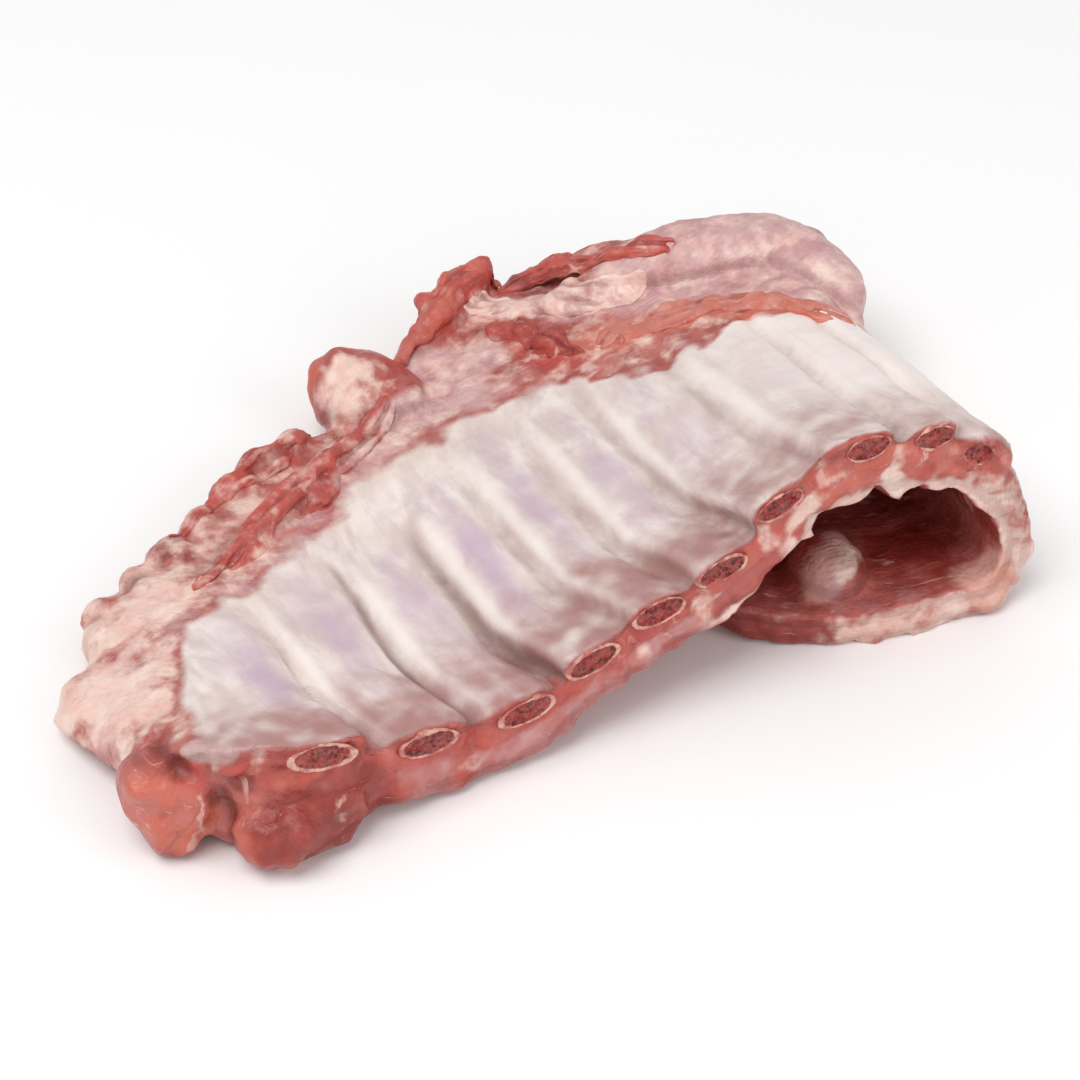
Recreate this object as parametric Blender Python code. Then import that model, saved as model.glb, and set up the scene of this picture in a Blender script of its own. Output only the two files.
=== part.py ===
"""Raw rack of pork ribs, lying bone side up with its thin end rolled under.

The meat is one solid, lofted through hand-set stations that follow the rack from its thick end,
over the arch and round the fold to the free end. Ten rib bones run through it from the sawn edge.
Sizes are millimetres in the table and the named values, and metres in the meshes.
"""

import math

import bmesh
import bpy
import numpy as np
from mathutils import Vector, noise

MM = 0.001

# Stations along the rack. Each gives the bone side at the sawn edge and at the far edge:
# (x sawn, z sawn, x far, z far, y sawn, y far, thickness sawn, thickness far, drop)
# where drop says how early the bone side falls away from the sawn edge, 1 being evenly
STATIONS = np.array(
    [
        (-164, 32, -174, 10, -34, 25, 28, 10, 0.9),
        (-152, 42, -153, 15, -46, 40, 38, 15, 0.9),
        (-134, 47, -132, 18, -60, 63, 45, 19, 0.9),
        (-115, 45, -110, 19, -67, 77, 44, 20, 0.9),
        (-92, 37, -84, 19, -67, 93, 31, 20, 1.0),
        (-68, 31, -57, 19, -67, 102, 28, 20, 1.0),
        (-45, 30, -32, 19, -67, 110, 26, 20, 1.1),
        (-25, 38, -8, 20, -67, 121, 22, 20, 1.2),
        (-4, 48, 18, 20, -67, 138, 26, 19, 1.3),
        (14, 54, 42, 21, -68, 148, 25, 17, 1.3),
        (32, 63, 64, 23, -69, 153, 26, 17, 1.3),
        (46, 80, 86, 26, -71, 148, 25, 17, 1.3),
        (64, 92, 106, 31, -73, 139, 24, 17, 1.3),
        (88, 93, 126, 37, -75, 131, 25, 17, 1.3),
        (112, 86, 144, 43, -76, 123, 24, 17, 1.3),
        (128, 72, 155, 44, -77, 113, 19, 15, 1.2),
        (140, 51, 162, 39, -78, 105, 13, 13, 1.1),
        (147, 30, 165, 24, -79, 98, 11, 12, 1.0),
        (146, 12, 161, 10, -79, 94, 11, 12, 1.0),
        (132, 1, 146, 1, -80, 90, 13, 10, 1.0),
        (108, 0, 118, 0, -78, 88, 16, 9, 1.0),
        (76, 0, 86, 0, -69, 82, 14, 8, 1.0),
        (50, 2, 62, 0, -50, 72, 12, 8, 1.0),
        (40, 6, 52, 4, -34, 56, 9, 8, 1.0),
    ],
    dtype=float,
)
END_ROUNDING = 0.55  # stations over which each end of the rack rounds off
FAR_ROUNDING = 0.09  # share of the width over which the far edge rounds off
DISH = 3.0  # hollow of the rib cage across the rack
SQUARE_SHARE = 0.2  # share of the width over which the thickness turns square to the saw cut

# Ribs: the first bone's place along the sawn edge, then the pitch to each next one
FIRST_BONE = 53.0
RIB_PITCHES = (39, 35, 26, 27, 24, 28, 37, 27, 24)
RIB_BOW = 9.0  # how far the ribs bow towards the thick end on their way in from the saw cut
BOW_SPAN = ((20.0, 100.0), (238.0, 275.0))  # along the sawn edge, where the bow grows and where it ends
RIB_BULGE = 1.6
RIB_LEVELLING = 0.5  # share of the edge's own slope that each rib takes out
LEVEL_REACH = 0.45  # share of the width over which that fades
GROOVE_DEPTH = 4.2
GROOVE_HALF_WIDTH = 3.4
RIBS_FADE = (0.42, 0.78)  # share of the width over which the ribs fade into the belly side
BONE_WIDTHS = (21.0, 13.0)  # first and last bone
BONE_THICKNESS = (8.2, 6.4)
BONE_COVER = 1.0
BONE_PROUD = 0.8  # how far a sawn end stands out of the meat
BONE_REACH = 0.52  # share of the width that a bone runs
BONE_GAP = 0.3

# Muscle lobes that hang between the bones on the meat side of the arch
LOBE_DEPTH = 3.6
LOBE_SHIFT = -6.0
LOBE_SPAN = (175.0, 330.0)  # along the sawn edge

UNEVEN = 1.3
UNEVEN_WAVELENGTH = 26.0

# Mesh fineness
ACROSS = (0, 0.04, 0.11, 0.2, 0.29, 0.38, 0.47, 0.56, 0.65, 0.74, 0.83, 0.92, 0.97, 1)
RIB_STEPS = (-0.5, -0.36, -0.2, 0, 0.2, 0.36)  # shares of a pitch, from groove to groove
LEFT_RINGS = 7
RIGHT_RINGS = 20
CLOSEST_RINGS = 0.03  # stations
CUT_FACE_ROWS = 3
BONE_SIDES = 10
BONE_RINGS = 8

# Lumps fused on: centre, then half sizes
KNOB = ((-8, 119, 18), (17, 19, 15))
SMALL_KNOB = ((-44, 100, 13), (9, 9, 9))
CORNER_LOBE = ((-155, -36, 18), (16, 14, 19))
FOOT_LOBE = ((-121, -59, 13), (25, 14, 14))
TIP_CHUNK = ((-150, 17, 12), (20, 18, 9))
HOLLOW_LUMP = ((86, -46, 14), (14, 19, 13))
# Fat lumps along the far edge: station and half size
FAT_LUMPS = ((1.5, 9), (2.4, 7), (3.1, 9), (3.8, 7), (4.6, 8), (6.6, 7))

# Strands of muscle fused on: points on the centre line, each with its half thickness
SKIRT_STRAND = ((-108, 43, 17, 4), (-86, 56, 20, 6), (-60, 70, 20, 7), (-36, 84, 20, 6), (-16, 92, 19, 4))
EDGE_STRAND = ((6, 117, 17, 5), (23, 128, 18, 8), (40, 138, 21, 8), (56, 147, 25, 8), (66, 150, 24, 4))
RIM_STRAND = ((78, 144, 22, 5), (96, 136, 27, 7), (112, 127, 32, 7), (126, 119, 36, 5))
BELLY_LOBE = (
    (64, 118, 24, 8),
    (92, 112, 32, 13),
    (120, 104, 39, 17),
    (147, 87, 41, 18),
    (157, 60, 42, 15),
    (151, 34, 44, 9),
)
STRAND_SIDES = 10
STRAND_STEPS = 12

MEAT_COLOUR = (0.62, 0.17, 0.14, 1)
BONE_COLOUR = (0.80, 0.55, 0.47, 1)


def spline(values, q):
    """Catmull-Rom value of a column of the station table at q, counted in stations."""
    last = len(values) - 1
    i = min(max(int(math.floor(q)), 0), last - 1)
    f = q - i
    p1, p2 = values[i], values[i + 1]
    p0 = values[i - 1] if i > 0 else 2 * p1 - p2
    p3 = values[i + 2] if i + 2 <= last else 2 * p2 - p1
    a = 2 * p1
    b = (p2 - p0) * f
    c = (2 * p0 - 5 * p1 + 4 * p2 - p3) * f * f
    d = (3 * p1 - p0 - 3 * p2 + p3) * f**3
    return 0.5 * (a + b + c + d)


def smoothstep(low, high, x):
    t = min(max((x - low) / (high - low), 0.0), 1.0)
    return t * t * (3 - 2 * t)


def sawn_edge_lengths(steps=20):
    """Station values q and the length along the sawn edge at each, for placing the ribs."""
    q = np.linspace(0, len(STATIONS) - 1, steps * (len(STATIONS) - 1) + 1)
    xz = np.array([spline(STATIONS, value)[:2] for value in q])
    run = np.concatenate([[0], np.cumsum(np.linalg.norm(np.diff(xz, axis=0), axis=1))])
    return q, run


EDGE_Q, EDGE_RUN = sawn_edge_lengths()
BONE_RUNS = FIRST_BONE + np.concatenate([[0], np.cumsum(RIB_PITCHES)])
RIB_EDGES = np.concatenate(
    [
        [BONE_RUNS[0] - RIB_PITCHES[0] / 2],
        (BONE_RUNS[:-1] + BONE_RUNS[1:]) / 2,
        [BONE_RUNS[-1] + RIB_PITCHES[-1] / 2],
    ]
)


def station_at(run):
    return float(np.interp(run, EDGE_RUN, EDGE_Q))


def run_at(q):
    return float(np.interp(q, EDGE_Q, EDGE_RUN))


def bow(run, v):
    """How far the rib line that starts at that run lies back along the rack at share v of the width."""
    grown = smoothstep(*BOW_SPAN[0], run) * (1 - smoothstep(*BOW_SPAN[1], run))
    return RIB_BOW * grown * smoothstep(0.0, 0.22, v) * (1 - 0.5 * smoothstep(0.6, 0.9, v))


def edge_slope(run, step=8.0):
    """Rise of the sawn edge for each millimetre along it."""
    q_before, q_after = station_at(run - step), station_at(run + step)
    return (spline(STATIONS, q_after)[1] - spline(STATIONS, q_before)[1]) / (2 * step)


def base(q, v):
    """The smooth bone side at station q and share v of the width, in millimetres."""
    x_sawn, z_sawn, x_far, z_far, y_sawn, y_far, _, _, drop = spline(STATIONS, q)
    fall = 1 - max(1 - v, 0.0) ** drop
    upright = smoothstep(2.0, 9.0, z_sawn)
    dish = DISH * upright * 4 * v * (1 - v)
    return np.array(
        [
            x_sawn + (x_far - x_sawn) * v,
            y_sawn + (y_far - y_sawn) * v,
            z_sawn + (z_far - z_sawn) * fall - dish,
        ]
    )


def facing(q, v, step=0.02):
    """Unit vectors along the rack and out of the bone side, square to the saw cut near it."""
    along = base(q + step, v) - base(q - step, v)
    across = base(q, min(v + step, 1.0)) - base(q, v - step)
    out = np.cross(along, across)
    out[1] *= smoothstep(0.0, SQUARE_SHARE, v)
    return along / np.linalg.norm(along), out / np.linalg.norm(out)


def levelling(v):
    """Share of the edge's slope that the ribs take out at share v of the width."""
    return RIB_LEVELLING * (1 - smoothstep(0.0, LEVEL_REACH, v))


def rib_relief(run, v):
    """Height of the ribs and depth of the grooves between them on the bone side."""
    k = int(np.clip(np.searchsorted(RIB_EDGES, run) - 1, 0, len(BONE_RUNS) - 1))
    phase = (run - RIB_EDGES[k]) / (RIB_EDGES[k + 1] - RIB_EDGES[k]) * 2 - 1
    bulge = RIB_BULGE * max(1 - abs(phase) ** 2.4, 0.0)
    level = levelling(v) * edge_slope(run) * (BONE_RUNS[k] - run) if abs(phase) < 1 else 0.0
    deepest = GROOVE_DEPTH * (1 - 0.55 * smoothstep(0.0, 0.5, v))
    groove = deepest * sum(math.exp(-(((run - edge) / GROOVE_HALF_WIDTH) ** 2)) for edge in RIB_EDGES[1:])
    return (1 - smoothstep(*RIBS_FADE, v)) * (bulge + level - groove)


def lobe_relief(run, v):
    """Depth of the muscle lobes on the meat side, one beside each bone over the arch."""
    first, last = LOBE_SPAN
    inside = smoothstep(first, first + 30, run) * (1 - smoothstep(last - 25, last, run))
    waves = sum(math.exp(-(((run - b - LOBE_SHIFT) / 8.0) ** 2)) for b in BONE_RUNS)
    return LOBE_DEPTH * inside * (1 - smoothstep(0.3, 0.8, v)) * (2 * waves - 1)


def unevenness(p):
    return UNEVEN * noise.noise(Vector(p / UNEVEN_WAVELENGTH))


def skin_points(rib_line, v):
    """The bone side point and the meat side point on a rib line at share v, in millimetres."""
    last = len(STATIONS) - 1
    run = run_at(rib_line)
    q = min(max(rib_line, 0.0), last)
    if bow(run, v) > 0:
        q = station_at(run - bow(run, v))
    p = base(q, v)
    _, out = facing(min(max(q, 0.02), last - 0.02), max(v, 0.02))
    thick_sawn, thick_far = spline(STATIONS, q)[6:8]
    thickness = thick_sawn + (thick_far - thick_sawn) * smoothstep(0.0, 1.0, v)
    end = min(q, last - q) / END_ROUNDING
    end_round = math.sqrt(max(1 - (1 - min(end, 1.0)) ** 2, 0.0))
    edge = (1 - v) / FAR_ROUNDING
    far_round = math.sqrt(max(1 - (1 - min(edge, 1.0)) ** 2, 0.0))
    fullness = end_round * far_round
    top = (rib_relief(run, v) + unevenness(p)) * fullness
    bottom = thickness + (lobe_relief(run, v) + unevenness(p + 70)) * fullness
    middle = thickness / 2
    on_top = p + out * (-middle + (middle + top) * fullness)
    below = p + out * (-middle - (bottom - middle) * fullness)
    on_top[2], below[2] = max(on_top[2], 0.0), max(below[2], 0.0)
    return on_top, below


def ring_stations():
    """Values of q for the rings: one on each groove and crown, and close where an end rounds off."""
    last = len(STATIONS) - 1
    runs = list(np.linspace(0, RIB_EDGES[0], LEFT_RINGS, endpoint=False))
    for centre, pitch in zip(BONE_RUNS, np.diff(RIB_EDGES)):
        runs += [centre + share * pitch for share in RIB_STEPS]
    runs += list(np.linspace(RIB_EDGES[-1], EDGE_RUN[-1], RIGHT_RINGS))
    ends = [END_ROUNDING * share**2 for share in (0.25, 0.5, 0.75)]
    wanted = sorted([station_at(run) for run in runs] + ends + [last - end for end in ends])
    kept = [0.0]
    for q in wanted:
        if q - kept[-1] > CLOSEST_RINGS:
            kept.append(q)
    kept[-1] = last
    return kept


def ring(q):
    """One closed ring round the rack: bone side outwards, meat side back, then up the sawn face."""
    pairs = [skin_points(q, v) for v in ACROSS]
    points = [pair[0] for pair in pairs] + [pair[1] for pair in reversed(pairs[:-1])]
    low, high = pairs[0][1], pairs[0][0]
    for k in range(1, CUT_FACE_ROWS + 1):
        points.append(low + (high - low) * k / (CUT_FACE_ROWS + 1))
    return points


def new_object(name, bm, look):
    mesh = bpy.data.meshes.new(name)
    bm.to_mesh(mesh)
    bm.free()
    mesh.materials.append(look)
    obj = bpy.data.objects.new(name, mesh)
    bpy.context.scene.collection.objects.link(obj)
    return obj


def loft(name, rings, look, cap=False):
    """A closed mesh through rings of equal count, whose end rings are caps or collapsed lines."""
    bm = bmesh.new()
    loops = [[bm.verts.new(Vector(p) * MM) for p in points] for points in rings]
    count = len(rings[0])
    for a, b in zip(loops, loops[1:]):
        for j in range(count):
            k = (j + 1) % count
            bm.faces.new((a[j], a[k], b[k], b[j]))
    if cap:
        bm.faces.new(loops[0])
        bm.faces.new(loops[-1])
    bmesh.ops.remove_doubles(bm, verts=bm.verts, dist=0.02 * MM)
    bmesh.ops.dissolve_degenerate(bm, edges=bm.edges, dist=0.01 * MM)
    bmesh.ops.triangulate(bm, faces=bm.faces)
    bmesh.ops.recalc_face_normals(bm, faces=bm.faces)
    return new_object(name, bm, look)


def bone_rings(k, grow=0.0, extra=0.0):
    """Rings of rib bone k along its run, grown by a clearance for the channel cutter."""
    share = k / (len(BONE_RUNS) - 1)
    half_width = (BONE_WIDTHS[0] + (BONE_WIDTHS[1] - BONE_WIDTHS[0]) * share) / 2
    half_thick = (BONE_THICKNESS[0] + (BONE_THICKNESS[1] - BONE_THICKNESS[0]) * share) / 2
    q = station_at(BONE_RUNS[k])
    width = spline(STATIONS, q)[5] - spline(STATIONS, q)[4]
    shares = list(np.linspace(-BONE_PROUD / width, BONE_REACH, BONE_RINGS + 1))
    if extra:
        shares = [shares[0] - extra / width, *shares[:-1], BONE_REACH + grow / width]
    rings = []
    for v in shares:
        q = station_at(BONE_RUNS[k] - bow(BONE_RUNS[k], v))
        along, out = facing(q, v)
        onward = np.cross(out, along)
        along[2] *= 1 - levelling(max(v, 0.0))
        along /= np.linalg.norm(along)
        out = np.cross(along, onward)
        taper = 1 - 0.34 * smoothstep(0.0, 1.0, max(v, 0) / BONE_REACH)
        if v == shares[-1]:
            taper *= 0.5
        centre = base(q, v) - out * (BONE_COVER + half_thick)
        rings.append(
            [
                centre
                + along * (half_width * taper + grow) * math.cos(angle)
                + out * (half_thick * taper + grow) * math.sin(angle)
                for angle in np.linspace(0, 2 * math.pi, BONE_SIDES, endpoint=False)
            ]
        )
    return rings


def lump(name, centre, half_sizes, look, fineness=3):
    """A rounded lump of fat or meat, uneven like the rest, flat where it meets the table."""
    bm = bmesh.new()
    bmesh.ops.create_icosphere(bm, subdivisions=fineness, radius=1.0)
    for vert in bm.verts:
        p = np.array(centre, float) + np.array(vert.co) * np.array(half_sizes, float)
        p += np.array(vert.co) * unevenness(p * 1.7)
        p[2] = max(p[2], 0.0)
        vert.co = Vector(p) * MM
    bmesh.ops.recalc_face_normals(bm, faces=bm.faces)
    return new_object(name, bm, look)


def strand(name, points, look):
    """A round strand of muscle along a smooth line through its points, pointed at both ends."""
    table = np.array(points, float)
    rings = []
    for i in range(STRAND_STEPS + 1):
        share = i / STRAND_STEPS
        q = share * (len(table) - 1)
        here = spline(table, q)
        step = 0.01
        ahead = spline(table, q + step)[:3] - spline(table, q - step)[:3]
        ahead /= np.linalg.norm(ahead)
        side = np.cross(ahead, (0, 0, 1))
        side /= np.linalg.norm(side)
        up = np.cross(side, ahead)
        taper = max(math.sin(math.pi * share), 0.0) ** 0.35 if 0 < i < STRAND_STEPS else 0.2
        radius = here[3] * taper + unevenness(here[:3] * 1.3) * taper
        points_here = []
        for angle in np.linspace(0, 2 * math.pi, STRAND_SIDES, endpoint=False):
            p = here[:3] + (side * math.cos(angle) + up * math.sin(angle)) * radius
            p[2] = max(p[2], 0.0)
            points_here.append(p)
        rings.append(points_here)
    return loft(name, rings, look, cap=True)


def combine(obj, others, operation):
    """Joins the others to obj, or cuts them from it, in one Boolean, and removes them."""
    collection = bpy.data.collections.new("operands")
    bpy.context.scene.collection.children.link(collection)
    for other in others:
        bpy.context.scene.collection.objects.unlink(other)
        collection.objects.link(other)
    modifier = obj.modifiers.new(operation, "BOOLEAN")
    modifier.operand_type = "COLLECTION"
    modifier.collection = collection
    modifier.operation = operation
    modifier.solver = "EXACT"
    bpy.context.view_layer.objects.active = obj
    bpy.ops.object.modifier_apply(modifier=modifier.name)
    for other in others:
        bpy.data.objects.remove(other)
    bpy.data.collections.remove(collection)


def material(name, colour, roughness):
    made = bpy.data.materials.new(name)
    made.use_nodes = True
    shader = made.node_tree.nodes["Principled BSDF"]
    shader.inputs["Base Color"].default_value = colour
    shader.inputs["Roughness"].default_value = roughness
    return made


def clear_scene():
    for obj in list(bpy.data.objects):
        bpy.data.objects.remove(obj)


def stand_on_origin(objects):
    """Moves every mesh so that the middle of the object's underside is the origin."""
    points = np.array([obj.matrix_world @ v.co for obj in objects for v in obj.data.vertices])
    low, high = points.min(0), points.max(0)
    shift = -Vector(((low[0] + high[0]) / 2, (low[1] + high[1]) / 2, low[2]))
    for obj in objects:
        for vert in obj.data.vertices:
            vert.co += shift
    print("moved by", [round(x, 6) for x in shift])


def build():
    clear_scene()
    meat_look = material("meat", MEAT_COLOUR, 0.4)
    bone_look = material("bone", BONE_COLOUR, 0.5)
    meat = loft("meat", [ring(q) for q in ring_stations()], meat_look)
    lumps = {
        "knob": KNOB,
        "small_knob": SMALL_KNOB,
        "corner_lobe": CORNER_LOBE,
        "foot_lobe": FOOT_LOBE,
        "tip_chunk": TIP_CHUNK,
        "hollow_lump": HOLLOW_LUMP,
    }
    strands = {
        "skirt_strand": SKIRT_STRAND,
        "edge_strand": EDGE_STRAND,
        "rim_strand": RIM_STRAND,
        "belly_lobe": BELLY_LOBE,
    }
    fused = [lump(name, centre, sizes, meat_look) for name, (centre, sizes) in lumps.items()]
    fused += [strand(name, points, meat_look) for name, points in strands.items()]
    for number, (q, size) in enumerate(FAT_LUMPS):
        centre = base(q, 0.93) - (0, 0, size * 0.75)
        fused.append(lump(f"fat_lump_{number}", centre, (size, size, size), meat_look, fineness=2))
    combine(meat, fused, "UNION")
    bones, cutters = [], []
    for k in range(len(BONE_RUNS)):
        bones.append(loft(f"rib_bone_{k + 1:02d}", bone_rings(k), bone_look, cap=True))
        cutters.append(loft(f"channel_{k + 1:02d}", bone_rings(k, BONE_GAP, 4.0), bone_look, cap=True))
    combine(meat, cutters, "DIFFERENCE")
    stand_on_origin([meat, *bones])


build()
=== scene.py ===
"""Raw rack of ribs: meat, membrane, sawn bones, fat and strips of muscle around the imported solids."""

import math

import bmesh
import bpy
import numpy as np
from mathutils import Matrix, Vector, kdtree, noise
from mathutils.bvhtree import BVHTree


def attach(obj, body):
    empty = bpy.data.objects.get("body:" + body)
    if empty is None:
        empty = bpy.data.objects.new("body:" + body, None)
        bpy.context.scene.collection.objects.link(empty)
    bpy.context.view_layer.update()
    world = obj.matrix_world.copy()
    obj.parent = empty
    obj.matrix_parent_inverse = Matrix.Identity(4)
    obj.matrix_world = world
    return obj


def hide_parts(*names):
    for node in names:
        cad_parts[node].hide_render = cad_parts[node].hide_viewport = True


bl_info = {
    "name": "Rack of Ribs",
    "version": (1, 0, 0),
    "blender": (4, 5, 0),
    "location": "View3D > Sidebar > Rack of Ribs",
    "description": "Models a raw rack of ribs over its packed solids",
    "category": "Object",
}

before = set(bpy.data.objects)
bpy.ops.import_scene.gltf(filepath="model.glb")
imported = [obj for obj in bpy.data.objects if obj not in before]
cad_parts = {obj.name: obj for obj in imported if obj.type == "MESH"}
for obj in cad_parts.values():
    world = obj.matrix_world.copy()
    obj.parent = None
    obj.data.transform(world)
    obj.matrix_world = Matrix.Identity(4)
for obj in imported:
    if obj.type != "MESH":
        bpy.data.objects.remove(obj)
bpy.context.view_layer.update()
BONES = sorted(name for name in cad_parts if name.startswith("rib_bone"))
MM = 0.001
TO_MM = 1000
CAMERA_TARGET = (0.001143, -0.036926, 0.030)
LENS_AND_SENSOR = (100.0, 36.0)
FLOOR_WIDTH = 12.0
KEY_LIGHT = ((-0.9, -0.3, 2.0), 1.5)
FILL_LIGHT = ((0.9, -1.6, 0.9), 1.4)
RUN_SCALE = 500.0

# Stations along the rack, as in the solid, in millimetres before the shift to the row frame:
# (x sawn, z sawn, x far, z far, y sawn, y far, thickness sawn, thickness far, drop)
STATIONS = np.array(
    [
        (-164, 32, -174, 10, -34, 25, 28, 10, 0.9),
        (-152, 42, -153, 15, -46, 40, 38, 15, 0.9),
        (-134, 47, -132, 18, -60, 63, 45, 19, 0.9),
        (-115, 45, -110, 19, -67, 77, 44, 20, 0.9),
        (-92, 37, -84, 19, -67, 93, 31, 20, 1.0),
        (-68, 31, -57, 19, -67, 102, 28, 20, 1.0),
        (-45, 30, -32, 19, -67, 110, 26, 20, 1.1),
        (-25, 38, -8, 20, -67, 121, 22, 20, 1.2),
        (-4, 48, 18, 20, -67, 138, 26, 19, 1.3),
        (14, 54, 42, 21, -68, 148, 25, 17, 1.3),
        (32, 63, 64, 23, -69, 153, 26, 17, 1.3),
        (46, 80, 86, 26, -71, 148, 25, 17, 1.3),
        (64, 92, 106, 31, -73, 139, 24, 17, 1.3),
        (88, 93, 126, 37, -75, 131, 25, 17, 1.3),
        (112, 86, 144, 43, -76, 123, 24, 17, 1.3),
        (128, 72, 155, 44, -77, 113, 19, 15, 1.2),
        (140, 51, 162, 39, -78, 105, 13, 13, 1.1),
        (147, 30, 165, 24, -79, 98, 11, 12, 1.0),
        (146, 12, 161, 10, -79, 94, 11, 12, 1.0),
        (132, 1, 146, 1, -80, 90, 13, 10, 1.0),
        (108, 0, 118, 0, -78, 88, 16, 9, 1.0),
        (76, 0, 86, 0, -69, 82, 14, 8, 1.0),
        (50, 2, 62, 0, -50, 72, 12, 8, 1.0),
        (40, 6, 52, 4, -34, 56, 9, 8, 1.0),
    ],
    dtype=float,
)
LAST = len(STATIONS) - 1
TO_ROW = np.array([1.143, -36.926, 0.0])
END_ROUNDING = 0.55
FAR_ROUNDING = 0.09
DISH = 3.0
SQUARE_SHARE = 0.2
FIRST_BONE = 53.0
RIB_PITCHES = (39, 35, 26, 27, 24, 28, 37, 27, 24)
RIB_BOW = 9.0
BOW_SPAN = ((20.0, 100.0), (238.0, 275.0))
RIB_LEVELLING = 0.5
LEVEL_REACH = 0.45
BONE_WIDTHS = (21.0, 13.0)
BONE_THICKNESS = (8.2, 6.4)
BONE_COVER = 1.0
BONE_PROUD = 0.8
BONE_REACH = 0.52

# The membrane on the bone side: its ragged far edge and its left edge, as (run, share of the width)
MEMBRANE_FAR = (
    (20, 0.5), (42, 0.65), (76, 0.63), (111, 0.72), (137, 0.77), (157, 0.73), (179, 0.70), (203, 0.67),
    (223, 0.62), (239, 0.55), (256, 0.57), (280, 0.58), (309, 0.58), (345, 0.52), (380, 0.45),
)
MEMBRANE_LEFT = ((23, 0.0), (25, 0.2), (28, 0.37), (41, 0.62), (46, 0.8))

# Over these spans, in millimetres, shares of the width or slope, one covering gives way to another
MEMBRANE_END = (375, 400)
MEMBRANE_DEPTH = (4.0, 8.0)
LUMP_RISE = (3.5, 6.0)
CUT_TILT = (0.45, 0.75)
CUT_SHARE = (0.02, 0.06)
ROOF_END = (365, 380)
GROOVE_REACH = 2.3
RIDGE_SHIFT = 5.5
RIDGE_REACH = 2.6


def shade(red, green, blue):
    """A colour given as it looks on screen, 0 to 255, in the linear values that materials use."""
    parts = [c / 255.0 for c in (red, green, blue)]
    return tuple(((c + 0.055) / 1.055) ** 2.4 if c > 0.04 else c / 12.92 for c in parts)


def curve_through(table, t):
    """Catmull-Rom values between the rows of a table, at t counted in rows."""
    t = np.asarray(t, float)
    last = len(table) - 1
    i = np.clip(np.floor(t).astype(int), 0, last - 1)
    f = (t - i)[..., None]
    p1, p2 = table[i], table[i + 1]
    p0 = np.where((i > 0)[..., None], table[np.maximum(i - 1, 0)], 2 * p1 - p2)
    p3 = np.where((i + 2 <= last)[..., None], table[np.minimum(i + 2, last)], 2 * p2 - p1)
    bend = (2 * p0 - 5 * p1 + 4 * p2 - p3) * f**2 + (3 * p1 - p0 - 3 * p2 + p3) * f**3
    return 0.5 * (2 * p1 + (p2 - p0) * f + bend)


def spline(q):
    """The values of the station table at q, counted in stations."""
    return curve_through(STATIONS, q)


def smoothstep(low, high, x):
    t = np.clip((np.asarray(x, float) - low) / (high - low), 0.0, 1.0)
    return t * t * (3 - 2 * t)


def between(rise, fall, x):
    """1 from the end of the rise to the start of the fall, and 0 outside them."""
    return smoothstep(*rise, x) * (1 - smoothstep(*fall, x))


EDGE_Q = np.linspace(0, LAST, 20 * LAST + 1)
EDGE_RUN = np.concatenate([[0], np.cumsum(np.linalg.norm(np.diff(spline(EDGE_Q)[:, :2], axis=0), axis=1))])
BONE_RUNS = FIRST_BONE + np.concatenate([[0], np.cumsum(RIB_PITCHES)])
RIB_EDGES = np.concatenate(
    [
        [BONE_RUNS[0] - RIB_PITCHES[0] / 2],
        (BONE_RUNS[:-1] + BONE_RUNS[1:]) / 2,
        [BONE_RUNS[-1] + RIB_PITCHES[-1] / 2],
    ]
)


def at_edges(run, reach, shift=0.0, edges=RIB_EDGES[1:-1]):
    """1 on the lines between the ribs, moved along by the shift, and fading to 0 beside them."""
    return sum(np.exp(-(((run - edge - shift) / reach) ** 2)) for edge in edges)


def bone_side(q, v):
    """The smooth bone side at station q and share v of the width, in row-frame millimetres."""
    q, v = np.broadcast_arrays(np.asarray(q, float), np.asarray(v, float))
    row = spline(q)
    fall = 1 - np.maximum(1 - v, 0.0) ** row[..., 8]
    dish = DISH * smoothstep(2.0, 9.0, row[..., 1]) * 4 * v * (1 - v)
    x = row[..., 0] + (row[..., 2] - row[..., 0]) * v
    y = row[..., 4] + (row[..., 5] - row[..., 4]) * v
    z = row[..., 1] + (row[..., 3] - row[..., 1]) * fall - dish
    return np.stack([x, y, z], -1) + TO_ROW


def on_rib_line(run, v):
    """Station at share v of the rib line that starts at that run, for the ribs bow on their way in."""
    bow = RIB_BOW * between(*BOW_SPAN, run) * smoothstep(0.0, 0.22, v) * (1 - 0.5 * smoothstep(0.6, 0.9, v))
    return np.interp(run - bow, EDGE_RUN, EDGE_Q)


def normalised(vectors):
    return vectors / np.linalg.norm(vectors, axis=-1, keepdims=True)


def facing(q, v, step=0.02):
    """Unit vectors along the rack and out of the bone side, square to the saw cut near it."""
    q, v = np.broadcast_arrays(np.clip(q, step, LAST - step), np.asarray(v, float))
    along = bone_side(q + step, v) - bone_side(q - step, v)
    across = bone_side(q, np.minimum(v + step, 1.0)) - bone_side(q, v - step)
    out = np.cross(along, across)
    out[..., 1] *= smoothstep(0.0, SQUARE_SHARE, v)
    return normalised(along), normalised(out)


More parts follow.
